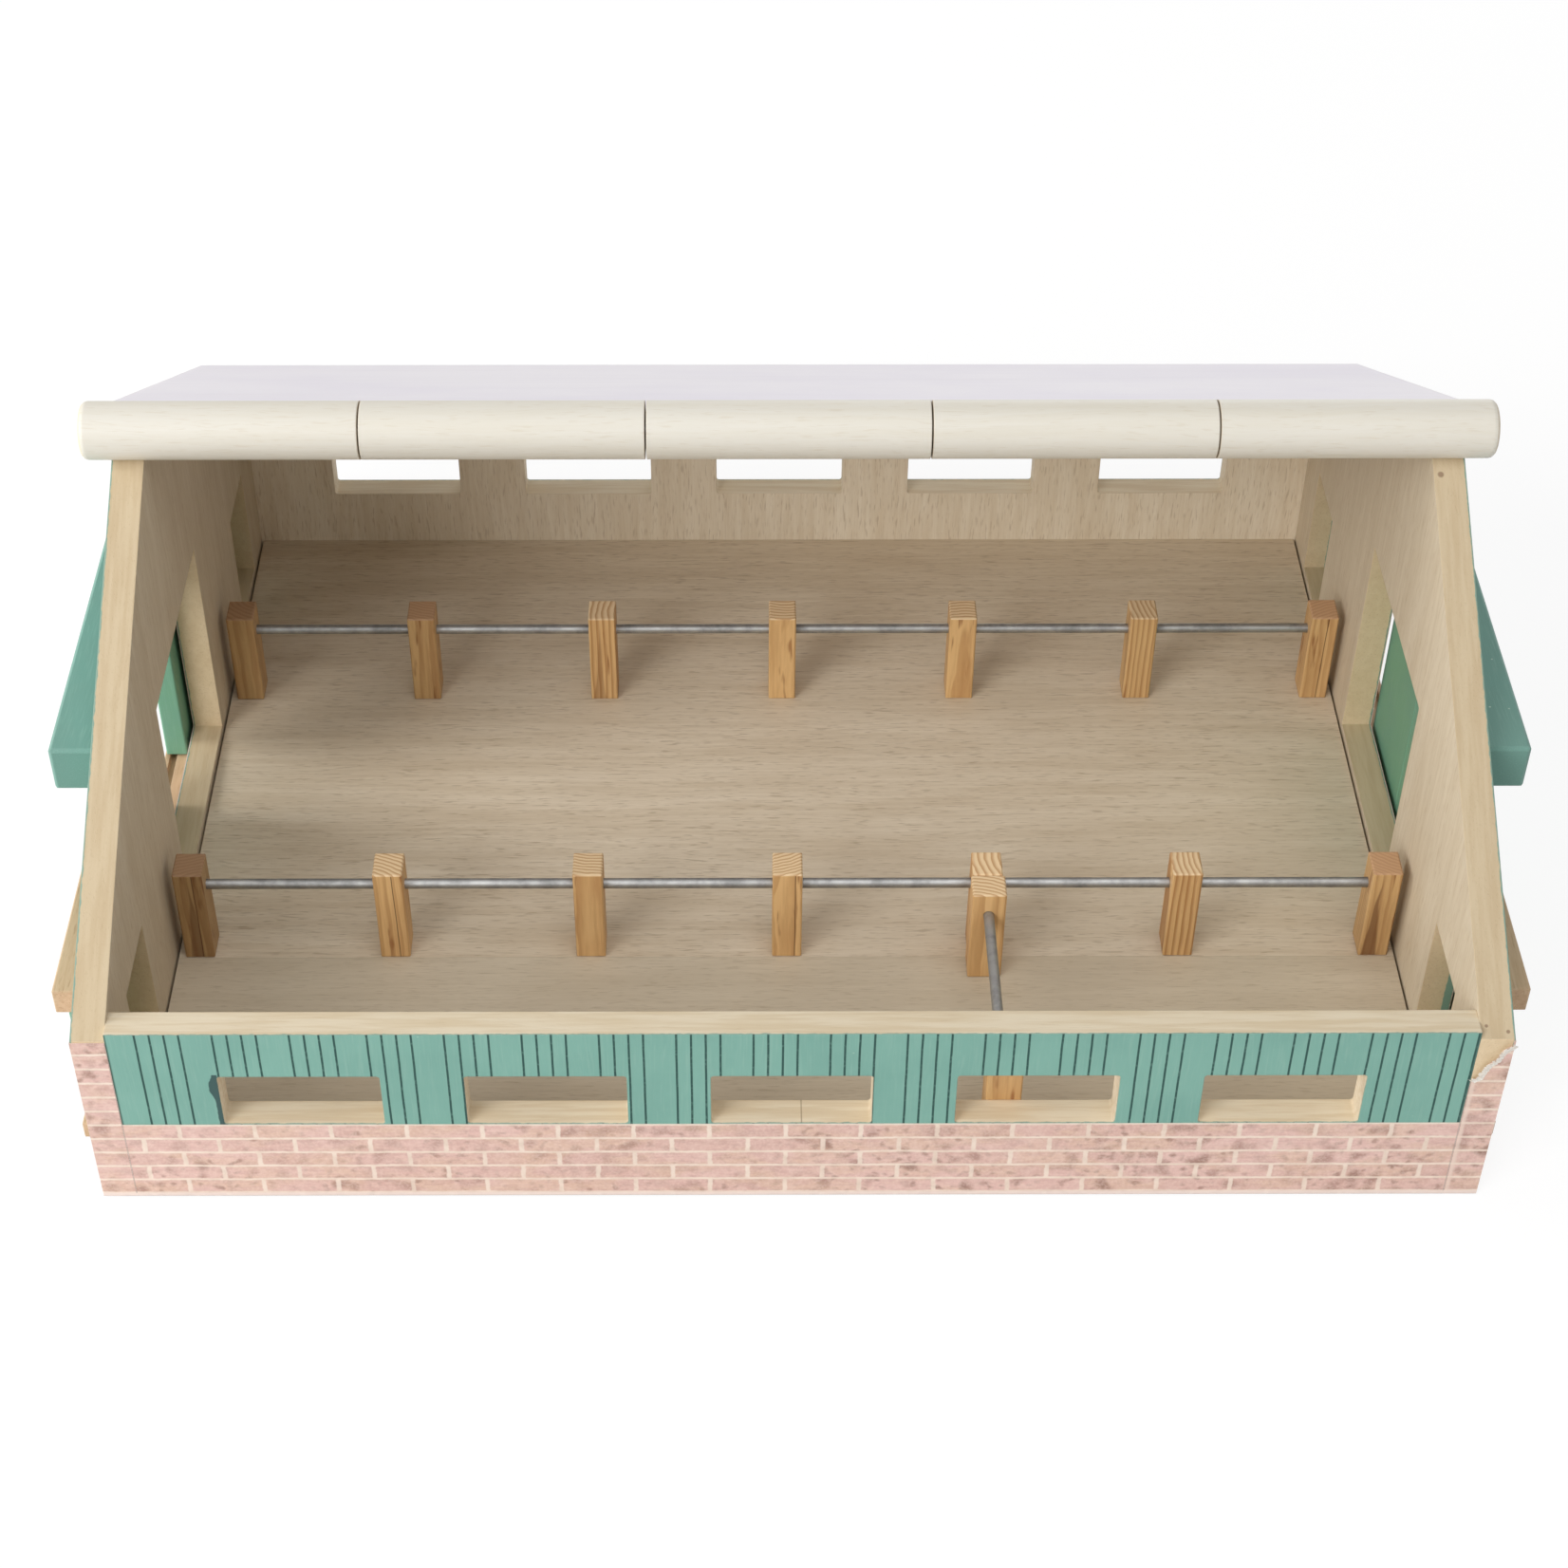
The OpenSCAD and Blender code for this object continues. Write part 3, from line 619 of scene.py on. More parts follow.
def bare_board(name, axis, light, dark, pore, length, width, seed, depth=1.0):
    """Planed or veneered wood with its grain along one axis."""
    material, g, vector = new_surface(name)
    grain = grain_along(g, vector, axis, length, width, seed)
    colour, height = wood_tones(g, grain, light, dark, pore, depth=depth)
    colour = g.mix(dashes(g, vector, axis, 0.24), colour, pore)
    smudge = g.use(SMUDGES, Vector=vector, Size=90.0, Seed=seed)
    colour = g.mix(g.step(smudge["Cloud"], 0.4, 0.75, 0.0, 0.3), colour, dark)
    wear = edge_wear(g, vector, 0.5, 0.4)
    colour = g.mix(wear["Wear"], colour, light)
    finish_surface(g, colour, 0.6, bumped(g, height, 0.5, 0.12, wear["Normal"]), specular=0.3)
    return material


def pine_post(name, centre, tone, seed, heart, stripes, rings):
    """A square pine post, with its year rings round a pith that lies outside the post."""
    def toned(*colours):
        return [srgb(*(value * tone for value in colour)) for colour in colours]

    dice = random.Random(seed)
    straight = stripes > 0.5
    pith_angle = math.radians(dice.uniform(-14, 14) if straight else 90 + dice.uniform(-42, 42))
    pith_angle *= dice.choice((-1, 1))
    pith_away = dice.uniform(16, 46)
    material, g, vector = new_surface(name, centre)
    x, y, z = g.split(vector)[:3]
    sway = g.noise(g.join(g.over(x, 9.0), g.over(y, 9.0), g.over(z, 48.0)), seed=seed)
    from_x = g.minus(x, pith_away * math.cos(pith_angle))
    from_y = g.minus(y, pith_away * math.sin(pith_angle))
    radius = g.math("SQRT", g.plus(g.times(from_x, from_x), g.times(from_y, from_y)))
    radius = g.plus(radius, g.times(sway, 2.6))
    ring = g.math("FRACT", g.over(radius, dice.uniform(1.5, 2.0) * (1.35 if straight else 1.0)))
    late = g.times(g.step(ring, 0.3, 0.86), g.step(ring, 1.0, 0.93))
    grain = grain_along(g, vector, "Z", 26.0, 1.2, seed)
    light, dark, resin_brown, heart_brown = toned(*PINE)
    end = g.above(g.size(g.split(g.facing())[2]), 0.7)
    wood = g.mix(g.step(grain["Streak"], 0.4, 0.65, 0.0, 0.35), light, dark)
    wood = g.mix(g.times(late, stripes), wood, dark)
    resin_at = g.join(g.over(x, 3.2), g.over(y, 3.2), g.over(z, 26.0))
    resin = g.step(g.noise(resin_at, seed=seed + 0.5), 0.60, 0.70, 0.0, 0.7)
    wood = g.mix(resin, wood, resin_brown)
    heart_x = g.plus(g.minus(x, dice.uniform(-3, 3)), g.times(sway, 6.0))
    heart_edge = g.plus(g.apart(heart_x, 3.0), g.times(z, 0.07))
    wood = g.mix(g.step(heart_edge, 1.6, 0.7, 0.0, heart), wood, heart_brown)
    crack_x = g.plus(g.minus(x, dice.uniform(-3.5, 3.5)), g.times(sway, 2.0))
    crack = 0.75 if dice.random() < 0.3 else 0.0
    wood = g.mix(g.step(g.apart(crack_x, 1.0), 0.3, 0.1, 0.0, crack), wood, PINE_CRACK)
    sawn = g.mix(g.times(late, rings), *toned(*(SAWN_RINGED if rings > 0.5 else SAWN_PLAIN)))
    colour = g.mix(end, wood, sawn)
    wear = edge_wear(g, vector, 0.7, 0.3)
    colour = g.mix(wear["Wear"], colour, light)
    height = g.plus(g.times(late, 0.5), g.times(grain["Fibre"], 0.5))
    finish_surface(g, colour, 0.5, bumped(g, height, 0.45, 0.12, wear["Normal"]), specular=0.35)
    return material


def printed_brick():
    """Common running-bond brickwork printed on matt paper, with clouds of soot marks."""
    material, g, vector = new_surface("printed_brick")
    x, y, z = g.split(vector)[:3]
    on_gable = g.above(g.size(g.split(g.facing())[0]), 0.6)
    run = g.plus(g.times(on_gable, y), g.times(g.minus(1.0, on_gable), x))
    slow = g.wobble(vector, 0.9, scale=0.05, detail=1.0)
    ragged = g.wobble(vector, 1.1, scale=0.5, detail=3.0)
    across = g.plus(g.minus(run, BRICK_JOINT_X), g.plus(slow, ragged))
    up = g.plus(g.minus(z, BRICK_FOOT_Z), g.plus(slow, g.times(ragged, 0.6)))
    past_wall = g.above(g.size(x), WALL_HALF_LENGTH)
    on_edge = g.times(past_wall, g.minus(1.0, on_gable))
    off_edge = g.minus(1.0, on_edge)
    joint = g.minus(g.times(off_edge, 1.65), g.times(on_edge, 2.0))
    brick = g.use(COURSES, Across=g.times(across, off_edge), Up=up, Length=BRICK_LENGTH,
                  Course=BRICK_COURSE, Joint=joint, Bed=1.05)
    face = g.mix(g.step(brick["Random"], 0.1, 0.9), PRINT["face"], PRINT["dark_face"])
    tan = g.step(g.noise(g.join(run, g.times(z, 2.2), 0.0), scale=0.04, detail=3.0, seed=3.0), 0.44, 0.6,
                 0.0, 0.55)
    face = g.mix(tan, face, PRINT["tan"])
    drawn_out = g.noise(g.join(g.times(run, 0.12), g.times(z, 0.8), 0.0), detail=3.0, seed=14.0)
    face = g.mix(g.times(g.step(drawn_out, 0.42, 0.62), 0.4), face, PRINT["streak"])
    dusty = g.step(g.noise(vector, scale=0.35, detail=3.0, roughness=0.7, seed=12.0), 0.4, 0.7, 0.0, 0.35)
    face = g.mix(dusty, face, PRINT["dust"])
    cluster = g.step(g.noise(vector, scale=0.025, seed=7.0), 0.38, 0.6, 0.3, 1.0)
    blot_at = g.join(run, g.times(z, 1.15), 0.0)
    blot = g.step(g.noise(blot_at, scale=0.17, detail=0.0, seed=9.0), 0.5, 0.86)
    small_blot = g.step(g.noise(blot_at, scale=0.3, detail=0.0, seed=19.0), 0.55, 0.86)
    mark = g.times(g.larger(blot, small_blot), cluster)
    face = g.mix(g.times(mark, 0.85), face, PRINT["blot"])
    mortar = g.mix(g.step(g.noise(vector, scale=0.2, detail=3.0, seed=2.0), 0.35, 0.7), PRINT["mortar"],
                   PRINT["dark_mortar"])
    colour = g.mix(brick["Brick"], mortar, face)
    colour = g.mix(g.times(mark, 0.18), colour, PRINT["blotted_joint"])
    from_inner = g.minus(x, WALL_HALF_LENGTH)
    pale_strip = g.times(g.step(from_inner, 2.4, 1.2), g.above(from_inner, 0.4))
    colour = g.mix(g.times(g.times(pale_strip, on_edge), 0.7), colour, PRINT["pale_strip"])
    print_grain = g.step(g.noise(vector, scale=1.1, seed=5.0), 0.38, 0.7, 0.0, 0.28)
    colour = g.mix(print_grain, colour, PRINT["grain"])
    # A painted shadow line on the print where the long walls meet the end walls
    seam = g.step(g.apart(g.size(x), WALL_HALF_LENGTH), 0.34, 0.12, 0.0, 0.55)
    colour = g.mix(g.times(seam, g.minus(1.0, on_gable)), colour, PRINT["seam"])
    colour = g.mix(g.step(z, 2.4, 1.6, 0.0, 0.85), colour, PRINT["foot"])
    # A thin dark line along the very bottom: painted contact shadow where the paper meets the ground
    colour = g.mix(g.step(z, 0.75, 0.4, 0.0, 0.6), colour, PRINT["foot_line"])
    wear = edge_wear(g, vector, 0.3, 0.7)
    colour = g.mix(wear["Wear"], colour, PRINT["rubbed"])
    crease = g.noise(vector, scale=0.02)
    finish_surface(g, colour, 0.6, bumped(g, crease, 0.35, 0.4), specular=0.25)
    return material


def torn_paper():
    """The white core of the brick paper, where it has torn."""
    material, g, vector = new_surface("torn_paper")
    colour = g.mix(g.step(g.noise(vector, scale=1.6, detail=4.0, roughness=0.7), 0.35, 0.7), *PAPER_CORE)
    pulp = g.noise(vector, scale=3.0, detail=3.0)
    finish_surface(g, colour, 0.85, bumped(g, pulp, 0.6, 0.15), specular=0.2)
    return material


def green_wood(name, axis, paint, seed):
    """A painted strip of wood, rubbed pale at its edges."""
    material, g, vector = new_surface(name)
    grain = grain_along(g, vector, axis, 30.0, 1.4, seed)
    colour = green_coat(g, vector, grain, seed, paint)
    speck = g.use(SMUDGES, Vector=vector, Size=30.0, Seed=seed + 1)["Speck"]
    colour = g.mix(g.times(speck, 0.5), colour, PAINT_SPECK)
    wear = edge_wear(g, vector, 0.7, 0.5)
    colour = g.mix(wear["Wear"], colour, GREEN_WORN)
    height = g.times(grain["Fibre"], 0.8)
    finish_surface(g, colour, 0.55, bumped(g, height, 0.45, 0.12, wear["Normal"]), specular=0.35)
    return material


def white_roof():
    """Whitewashed board with a faint lilac cast and bare sawn edges."""
    material, g, vector = new_surface("white_roof")
    grain = grain_along(g, vector, "X", 120.0, 6.0, 21.0)
    smudge = g.use(SMUDGES, Vector=vector, Size=160.0, Seed=2.0)
    wash = g.mix(g.step(smudge["Cloud"], 0.35, 0.7), WASH["light"], WASH["dark"])
    wash = g.mix(g.step(grain["Streak"], 0.4, 0.8, 0.0, 0.25), wash, WASH["streak"])
    wash = g.mix(g.times(smudge["Speck"], 0.25), wash, WASH["speck"])
    facing = g.split(g.facing())
    broad = g.above(g.size(facing[2]), 0.75)
    cut, cut_height = wood_tones(g, grain, CUT_LIGHT, CUT_DARK, CUT_PORE)
    colour = g.mix(broad, cut, wash)
    wear = edge_wear(g, vector, 0.6, 0.4)
    colour = g.mix(wear["Wear"], colour, WASH["rubbed"])
    normal = bumped(g, cut_height, 0.3, 0.08, wear["Normal"])
    finish_surface(g, colour, 0.5, normal, specular=0.35)
    return material


def limewashed_dowel():
    """The pale ridge: a turned dowel, its grain showing faintly through the wash."""
    material, g, vector = new_surface("limewashed_dowel")
    grain = grain_along(g, vector, "X", 80.0, 2.6, 7.0)
    colour, height = wood_tones(g, grain, *RIDGE_TONES, 0.55)
    end = g.above(g.size(g.split(g.facing())[0]), 0.7)
    colour = g.mix(g.times(end, 0.5), colour, RIDGE_END)
    wear = edge_wear(g, vector, 0.8, 0.5)
    colour = g.mix(wear["Wear"], colour, RIDGE_RUBBED)
    finish_surface(g, colour, 0.48, bumped(g, height, 0.4, 0.1, wear["Normal"]), specular=0.35)
    return material


def drawn_steel(name, base, axis):
    """Zinc-plated drawn steel, with fine lines along its length."""
    material, g, vector = new_surface(name)
    grain = grain_along(g, vector, axis, 12.0, 0.5, 5.0)
    smudge = g.use(SMUDGES, Vector=vector, Size=9.0, Seed=6.0)
    colour = g.mix(g.step(smudge["Cloud"], 0.35, 0.7), srgb(*base), srgb(*(v * 0.8 for v in base)))
    roughness = g.step(smudge["Cloud"], 0.3, 0.75, 0.48, 0.6)
    finish_surface(g, colour, roughness, bumped(g, grain["Fibre"], 0.15, 0.02), metallic=1.0)
    return material


def dress_nodes():
    """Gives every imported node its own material."""
    # The rails take the darker green copy, which is painted shade
    rails = green_wood("green_rail", "Y", SHADED_RAIL_GREEN, 31.0)
    doors = green_wood("green_door", "Z", DOOR_GREEN, 37.0)
    shared = {
        "bare_wood": wall_board("gable_board", "X", 11.0),
        "painted_wall": wall_board("wall_board", "Y", 15.0),
        "brick_print": printed_brick(),
        "steel_rod": drawn_steel("zinc_rod", ROD_STEEL, "X"),
        "ridge_dowel": limewashed_dowel(),
        "roof_panel": white_roof(),
        "bare_rail": bare_board("planed_rail", "Y", *RAIL_TONES, 40.0, 2.4, 41.0),
        "fastener_steel": drawn_steel("bright_nail", NAIL_STEEL, "Z"),
    }
    by_node = {
        "green_paint": lambda node: rails if "rail" in node else doors,
        "floor_board": floor_material,
        "pine_post": post_material,
    }
    for part in frame["record"]["subparts"]:
        name, slot = part["node"], part["material_slot"]
        node = frame["nodes"][name]
        node.data.materials.clear()
        node.data.materials.append(shared[slot] if slot in shared else by_node[slot](name))


def floor_material(node):
    kind = "lane" if "lane" in node else "front"
    tones, seed, depth = FLOORS[kind]
    return bare_board(kind + "_floor", "X", *tones, 46.0, 1.7, seed, depth)


def post_material(node):
    low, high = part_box(node)
    centre = tuple((low + high) / 2 / MM)
    seed = sum(ord(letter) * (place + 1) for place, letter in enumerate(node)) % 997
    tone = POST_TONES.get(node, random.Random(seed).uniform(0.92, 1.0))
    return pine_post("pine_" + node, centre, tone, seed, HEARTWOOD.get(node, 0.0), STRIPES.get(node, 0.4),
                     0.35 if node in PLAIN_TOPS else 0.8)


# ---------------------------------------------------------------- screws, nails and torn paper

class Shape(Tree):
    """A geometry node tree under construction, with named sizes in metres."""

    def __init__(self, name, sizes):
        super().__init__(bpy.data.node_groups.new(name, "GeometryNodeTree"))
        add_socket(self.tree, "Geometry", "INPUT", "Geometry")
        for size, value in sizes.items():
            add_socket(self.tree, size, "INPUT", "Float").default_value = value
        add_socket(self.tree, "Material", "INPUT", "Material")
        add_socket(self.tree, "Geometry", "OUTPUT", "Geometry")
        self.entry = self.tree.nodes.new("NodeGroupInput").outputs
        self.leave = self.tree.nodes.new("NodeGroupOutput").inputs

    def put(self, kind, settings=None, **inputs):
        return self.add(kind, settings, inputs).outputs

    def join(self, x, y, z):
        return self.put("ShaderNodeCombineXYZ", X=x, Y=y, Z=z)[0]

    def cone(self, sides, top, foot, depth):
        return self.put("GeometryNodeMeshCone", Vertices=sides, Radius_Top=top, Radius_Bottom=foot,
                        Depth=depth)["Mesh"]

    def block(self, x, y, z):
        return self.put("GeometryNodeMeshCube", Size=self.join(x, y, z))["Mesh"]

    def on_points(self, points, instance, **settings):
        """A copy of the instance on each point."""
        return self.put("GeometryNodeInstanceOnPoints", Points=points, Instance=instance, **settings)[0]

    def moved(self, geometry, z):
        return self.put("GeometryNodeTransform", Geometry=geometry, Translation=self.join(0.0, 0.0, z))[0]

    def together(self, *geometries):
        node = self.tree.nodes.new("GeometryNodeJoinGeometry")
        for geometry in geometries:
            self.tree.links.new(geometry, node.inputs[0])
        return node.outputs[0]

    def carve(self, first, *others):
        node = self.tree.nodes.new("GeometryNodeMeshBoolean")
        node.operation = "DIFFERENCE"
        self.tree.links.new(first, node.inputs["Mesh 1"])
        for other in others:
            self.tree.links.new(other, node.inputs["Mesh 2"])
        return node.outputs["Mesh"]

    def finish(self, geometry):
        placed = self.put("GeometryNodeRealizeInstances", Geometry=geometry)[0]
        dressed = self.put("GeometryNodeSetMaterial", Geometry=placed, Material=self.entry["Material"])[0]
        self.tree.links.new(dressed, self.leave[0])
        return self.tree


def screw_tree():
    """Countersunk wood screws with a cross slot and a thread, one on each point, heads down."""
    shape = Shape("wood_screw", {
        "Head Diameter": 6 * MM, "Head Height": 1.5 * MM, "Shank Diameter": 3 * MM, "Length": 28 * MM,
        "Slot Length": 3.4 * MM, "Slot Width": 0.7 * MM, "Slot Depth": 1.0 * MM, "Thread Pitch": 1.3 * MM})
    size = shape.entry
    core = shape.times(size["Shank Diameter"], 0.36)
    tip = shape.times(size["Shank Diameter"], 1.5)
    head = shape.cone(40, core, shape.times(size["Head Diameter"], 0.5), size["Head Height"])
    slot_height = shape.times(size["Slot Depth"], 2.0)
    one = shape.block(size["Slot Length"], size["Slot Width"], slot_height)
    other = shape.block(size["Slot Width"], size["Slot Length"], slot_height)
    slotted = shape.carve(head, one, other)
    shank_length = shape.minus(shape.minus(size["Length"], size["Head Height"]), tip)
    shank = shape.cone(24, core, core, shank_length)
    point = shape.cone(24, 0.0, core, tip)
    turns = shape.over(shank_length, size["Thread Pitch"])
    helix = shape.put("GeometryNodeCurveSpiral", Resolution=20, Rotations=turns, Start_Radius=core,
                      End_Radius=core, Height=shank_length)["Curve"]
    ridge = shape.put("GeometryNodeCurvePrimitiveCircle", Resolution=3,
                      Radius=shape.times(size["Shank Diameter"], 0.13))["Curve"]
    thread = shape.put("GeometryNodeCurveToMesh", Curve=helix, Profile_Curve=ridge, Fill_Caps=True)["Mesh"]
    upper = shape.moved(shape.together(shank, thread), z=size["Head Height"])
    end = shape.moved(point, z=shape.minus(size["Length"], tip))
    screw = shape.together(slotted, upper, end)
    return shape.finish(shape.on_points(size["Geometry"], screw))


def nail_tree():
    """Round nails with a dished head, one on each point, driven along the point's own direction."""
    shape = Shape("round_nail", {
        "Head Diameter": 3.6 * MM, "Head Height": 0.8 * MM, "Shank Diameter": 1.8 * MM, "Length": 26 * MM,
        "Dish Depth": 0.25 * MM})
    size = shape.entry
    half_head = shape.times(size["Head Diameter"], 0.5)
    half_shank = shape.times(size["Shank Diameter"], 0.5)
    plate = shape.cone(32, half_head, shape.times(half_head, 0.9), size["Head Height"])
    dish = shape.cone(32, shape.times(half_head, 0.8), shape.times(half_head, 0.55), size["Dish Depth"])
    dish = shape.moved(dish, z=shape.minus(size["Head Height"], shape.times(size["Dish Depth"], 0.9)))
    head = shape.moved(shape.carve(plate, dish), z=shape.times(size["Head Height"], -1.0))
    tip = shape.times(size["Shank Diameter"], 1.2)
    body_length = shape.minus(shape.minus(size["Length"], size["Head Height"]), tip)
    body = shape.cone(20, half_shank, half_shank, body_length)
    body = shape.moved(body, z=shape.times(shape.plus(body_length, size["Head Height"]), -1.0))
    point = shape.cone(20, half_shank, 0.0, tip)
    point = shape.moved(point, z=shape.times(size["Length"], -1.0))
    turn = shape.put("GeometryNodeInputNamedAttribute", {"data_type": "FLOAT_VECTOR"}, Name="turn")[0]
    rotation = shape.put("FunctionNodeEulerToRotation", Euler=turn)[0]
    nail = shape.together(head, body, point)
    return shape.finish(shape.on_points(size["Geometry"], nail, Rotation=rotation))


def fibre_tree():
    """Loose paper fibres along a torn edge, leaning off it at random."""
    shape = Shape("paper_fibres", {
        "Spacing": 0.2 * MM, "Fibre Length": 1.5 * MM, "Fibre Thickness": 0.16 * MM, "Seed": 4.0})
    size = shape.entry
    edge = shape.put("GeometryNodeMeshToCurve", Mesh=size["Geometry"])["Curve"]
    even = shape.put("GeometryNodeResampleCurve", {"mode": "LENGTH"}, Curve=edge, Length=size["Spacing"])[0]
    fibre = shape.cone(4, 0.02 * MM, shape.times(size["Fibre Thickness"], 0.5), size["Fibre Length"])
    seed = shape.put("FunctionNodeFloatToInt", Float=size["Seed"])[0]
    lean = shape.put("FunctionNodeRandomValue", {"data_type": "FLOAT_VECTOR"}, Seed=seed)
    for name, angles in FIBRE_LEAN.items():
        lean[0].node.inputs[name].default_value = [math.radians(angle) for angle in angles]
    rotation = shape.put("FunctionNodeEulerToRotation", Euler=lean["Value"])[0]
    stretch = shape.put("FunctionNodeRandomValue", {"data_type": "FLOAT"}, Seed=seed)
    for socket in stretch[0].node.inputs:
        if socket.type == "VALUE" and socket.name in FIBRE_STRETCH:
            socket.default_value = FIBRE_STRETCH[socket.name]
    length = [socket for socket in stretch if socket.type == "VALUE"][0]
    return shape.finish(shape.on_points(even, fibre, Rotation=rotation, Scale=shape.join(1.0, 1.0, length)))


def grow(name, tree, points, material, edges=(), turns=None, **sizes):
    """Runs a tree on points given in metres, and returns the finished plain mesh."""
    seedbed = bpy.data.meshes.new(name + "_points")
    seedbed.from_pydata([tuple(point) for point in points], list(edges), [])
    if turns is not None:
        attribute = seedbed.attributes.new("turn", "FLOAT_VECTOR", "POINT")
        for item, turn in zip(attribute.data, turns):
            item.vector = turn
    carrier = new_object(name + "_points", seedbed)
    modifier = carrier.modifiers.new(tree.name, "NODES")
    modifier.node_group = tree
    sockets = {item.name: item.identifier for item in tree.interface.items_tree if item.in_out == "INPUT"}
    modifier[sockets["Material"]] = material
    for size, value in sizes.items():
        modifier[sockets[size.replace("_", " ")]] = value
    bpy.context.view_layer.update()
    mesh = bpy.data.meshes.new_from_object(carrier.evaluated_get(bpy.context.evaluated_depsgraph_get()))
    carrier.modifiers.remove(modifier)
    bpy.data.objects.remove(carrier)
    mesh.name = name
    if turns is not None and "turn" in mesh.attributes:
        mesh.attributes.remove(mesh.attributes["turn"])
    mesh.materials.clear()
    mesh.materials.append(material)
    mesh.polygons.foreach_set("material_index", [0] * len(mesh.polygons))
    return new_object(name, mesh)


def drive_screws(steel):
    """A screw up through the floor into every stall post."""
    posts = [f"{row}_post_{number}" for row in ("front", "rear") for number in range(1, 8)]
    posts += ["divider_post_inner", "divider_post_wall"]
    points = []
    for post in posts:
        low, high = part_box(post)
        points.append(((low.x + high.x) / 2, (low.y + high.y) / 2, 0))
    screws = grow("post_wood_screws", screw_tree(), points, steel)
    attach(screws, "barn")
    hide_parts("post_screws")


def drive_nails(steel):
    """Nails through the end walls into the long walls, and through the rear roof leaf into the gables."""
    tree = nail_tree()
    low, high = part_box("wall_nails")
    head = 1.8 * MM
    points, turns = [], []
    for x, turn in ((low.x, -90), (high.x, 90)):
        for y in (low.y + head, high.y - head):
            for z in (low.z + head, high.z - head):
                points.append((x, y, z))
                turns.append((0, math.radians(turn), 0))
    wall_nails = grow("wall_round_nails", tree, points, steel, turns=turns)
    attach(wall_nails, "barn")
    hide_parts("wall_nails")

    low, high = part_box("roof_nails")
    hinge = sum(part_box("ridge_hinge_rod"), Vector()) / 2
    slope = math.radians(ROOF_SLOPE)
    down = Vector((0, math.cos(slope), -math.sin(slope)))
    out = Vector((0, math.sin(slope), math.cos(slope)))
    points = []
    for x in (low.x + head, high.x - head):
        for along in ROOF_NAILS_AT:
            points.append(Vector((x, hinge.y, hinge.z)) + down * along * MM - out * ROOF_REAR_AIR * MM)
    turns = [(-slope, 0, 0)] * len(points)
    roof_nails = grow("roof_round_nails", tree, points, steel, turns=turns, Length=22 * MM)
    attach(roof_nails, "barn")
    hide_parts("roof_nails")


def tear_line():
    """The torn edge of the brick paper at the right front corner, ragged, in metres."""
    dice = random.Random(31)
    line = []
    for (x0, z0), (x1, z1) in zip(TEAR_CORNERS, TEAR_CORNERS[1:]):
        steps = max(2, round(math.hypot(x1 - x0, z1 - z0) / 0.45))
        for step in range(steps):
            share = step / steps
            line.append(Vector((WALL_HALF_LENGTH + x0 + (x1 - x0) * share, -SIDE_Y - 0.3,
                                TEAR_TOP_Z + z0 + (z1 - z0) * share)) * MM)
    across = Vector((-0.72, 0, 0.69))
    return [point + across * dice.uniform(-0.25, 0.3) * MM for point in line], across


def lay_torn_paper(paper):
    """A frayed white lip that curls off the wall along the tear, with fibres standing out of it."""
    line, across = tear_line()
    dice = random.Random(12)
    out = Vector((0, -1, 0))
    mesh = bmesh.new()
    rows = []
    curl = 0.5
    for number, point in enumerate(line):
        curl = 0.7 * curl + 0.3 * dice.uniform(0.2, 1.3)
        loose = 2.1 - 1.5 * number / len(line)
        profile = [(-1.9, 0.02), (-0.8, 0.1 + 0.2 * loose), (0.1, 0.45 * loose + 0.3 * curl),
                   (0.9 + dice.uniform(-0.4, 0.8), 0.5 * loose + 0.8 * curl)]
        rows.append([mesh.verts.new(point + (across * along + out * lift) * MM) for along, lift in profile])
    for first, second in zip(rows, rows[1:]):
        for lower in range(len(first) - 1):
            mesh.faces.new((first[lower], second[lower], second[lower + 1], first[lower + 1]))
    lip = bpy.data.meshes.new("torn_paper_lip")
    mesh.to_mesh(lip)
    mesh.free()
    lip.materials.append(paper)
    piece = new_object("torn_paper_lip", lip)
    thick = piece.modifiers.new("paper_thickness", "SOLIDIFY")
    thick.thickness = 0.14 * MM
    thick.offset = 0
    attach(piece, "barn")

    edges = [(number, number + 1) for number in range(len(line) - 1)]
    roots = [point + (across * 0.3 + out * 0.4) * MM for point in line]
    fibres = grow("torn_paper_fibres", fibre_tree(), roots, paper, edges=edges)
    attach(fibres, "barn")


# ---------------------------------------------------------------- floor and world

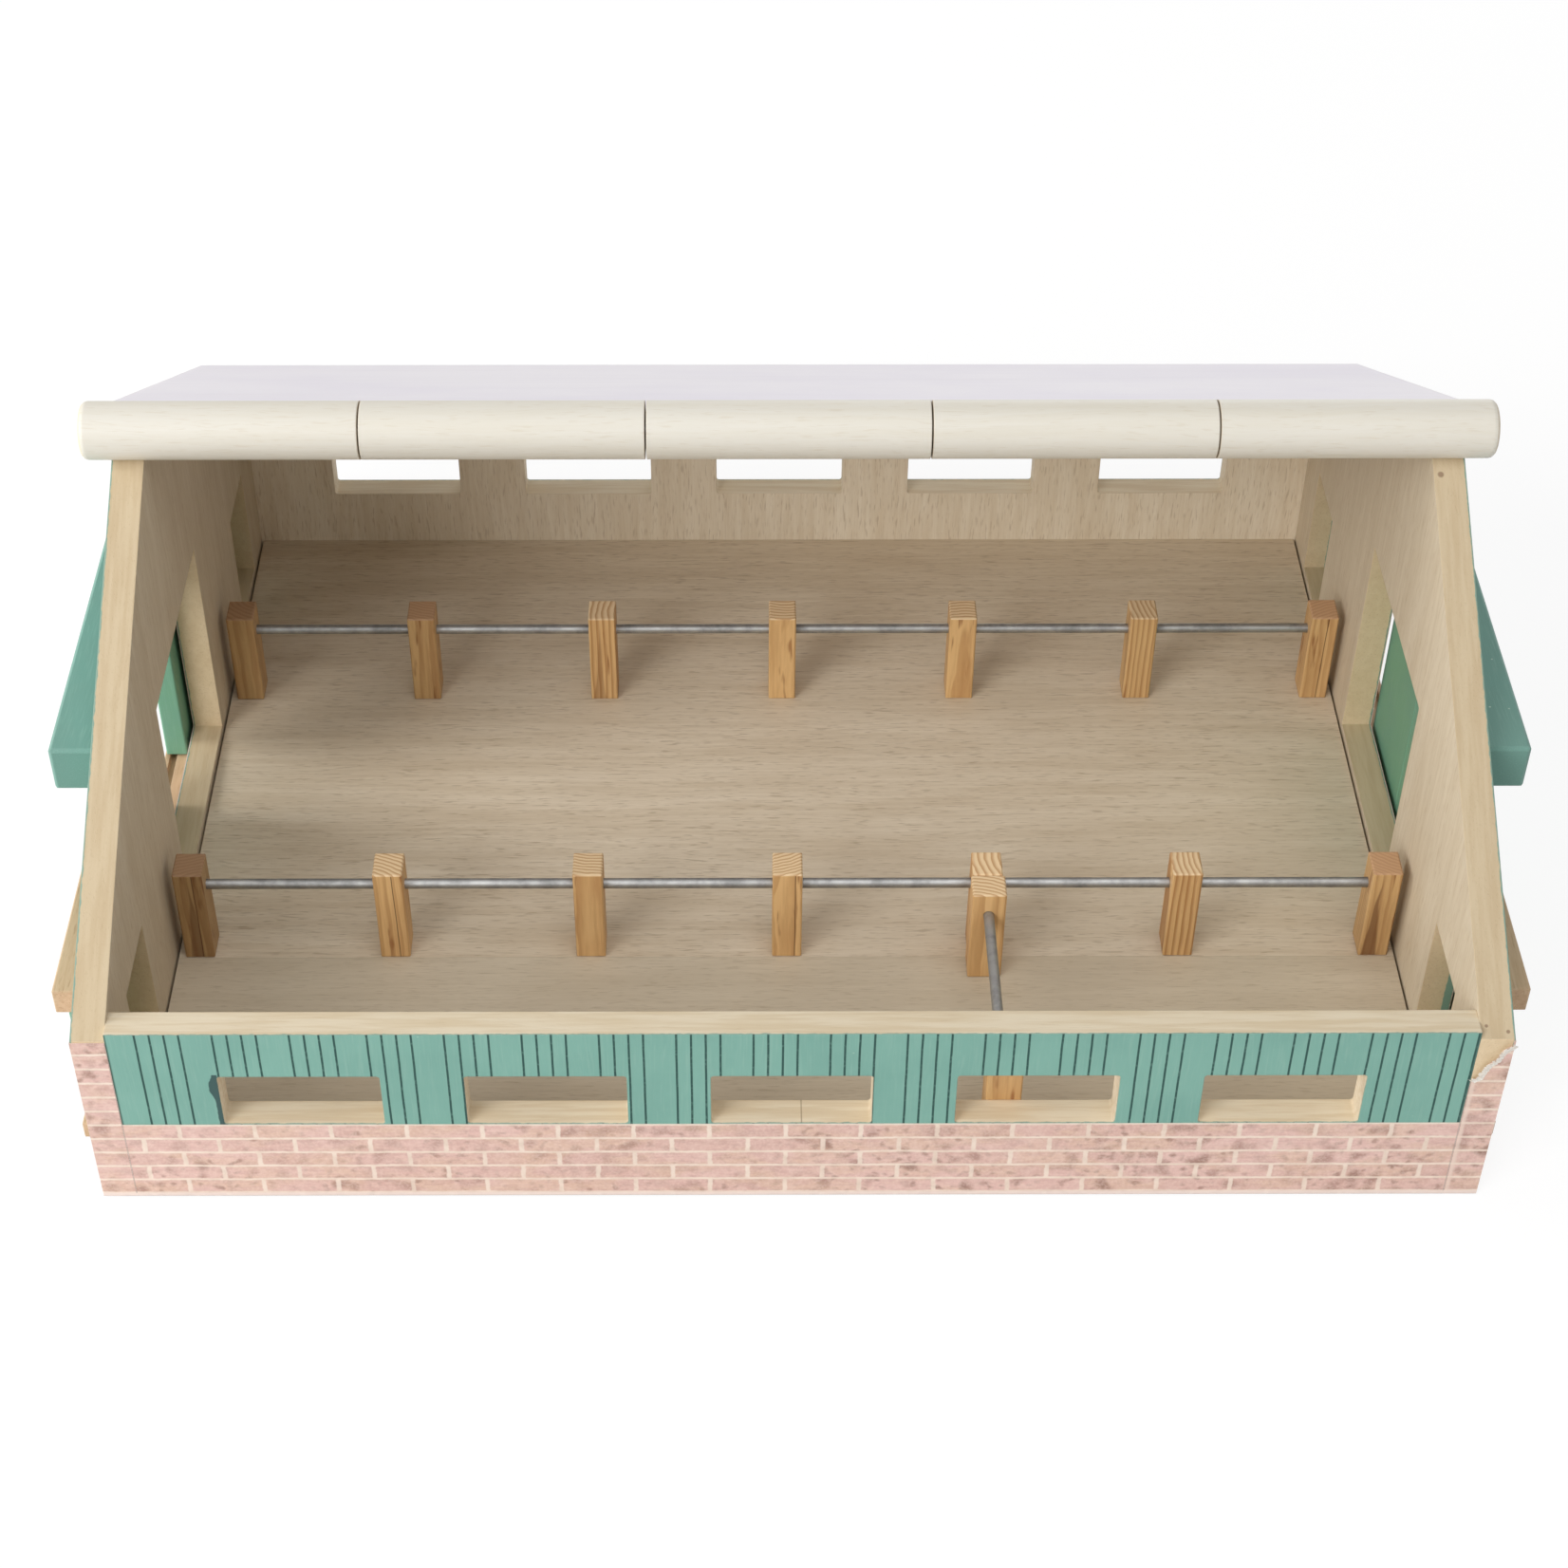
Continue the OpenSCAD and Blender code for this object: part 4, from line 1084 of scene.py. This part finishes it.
def seen_directly(g):
    """1 where a camera, glossy or clear ray meets a surface or the world."""
    path = g.put("LightPath").outputs
    return g.larger(path["Is Camera Ray"], g.larger(path["Is Glossy Ray"], path["Is Transmission Ray"]))


def paper_floor():
    """A pale floor: white to the camera, with the barn's soft shadow kept."""
    material, g = new_material("studio_floor")
    diffuse = g.put("BsdfDiffuse", Color=(0.9, 0.9, 0.9, 1))
    glow = g.put("Emission", Color=(1, 1, 1, 1), Strength=FLOOR_GLOW)
    shown = seen_directly(g)
    blend = g.put("MixShader")
    x, y = g.split(g.place())[:2]
    away = g.math("SQRT", g.plus(g.times(x, x), g.times(y, y)))
    g.feed(blend.inputs[0], g.times(shown, g.step(away, 0.7, 2.2, 0.8, 1.0)))
    g.tree.links.new(diffuse.outputs[0], blend.inputs[1])
    g.tree.links.new(glow.outputs[0], blend.inputs[2])
    g.put("OutputMaterial", Surface=blend.outputs[0])
    return material


def lay_floor():
    mesh = bpy.data.meshes.new("studio_floor")
    corners = [(x * FLOOR_HALF, y * FLOOR_HALF, FLOOR_Z) for x, y in ((-1, -1), (1, -1), (1, 1), (-1, 1))]
    mesh.from_pydata(corners, [], [(0, 1, 2, 3)])
    floor = new_object("studio_floor", mesh)
    mesh.materials.append(paper_floor())


def set_world():
    """Even studio light, and plain white where a camera, glossy or clear ray sees it."""
    world = bpy.data.worlds.new("studio")
    world.use_nodes = True
    world.node_tree.nodes.clear()
    bpy.context.scene.world = world
    g = Graph(world.node_tree)
    shown = seen_directly(g)
    level = g.plus(WORLD_LEVEL, g.times(shown, SHOWN_LEVEL))
    background = g.put("Background", Color=(1, 1, 1, 1), Strength=level)
    g.put("OutputWorld", Surface=background.outputs[0])
    bpy.context.scene.view_settings.view_transform = "Standard"


place_camera()
set_world()
for lamp in LAMPS:
    soft_lamp(*lamp)
lay_floor()
dress_nodes()
fastener = drawn_steel("plated_fastener", SCREW_STEEL, "Z")
drive_screws(fastener)
drive_nails(fastener)
lay_torn_paper(torn_paper())
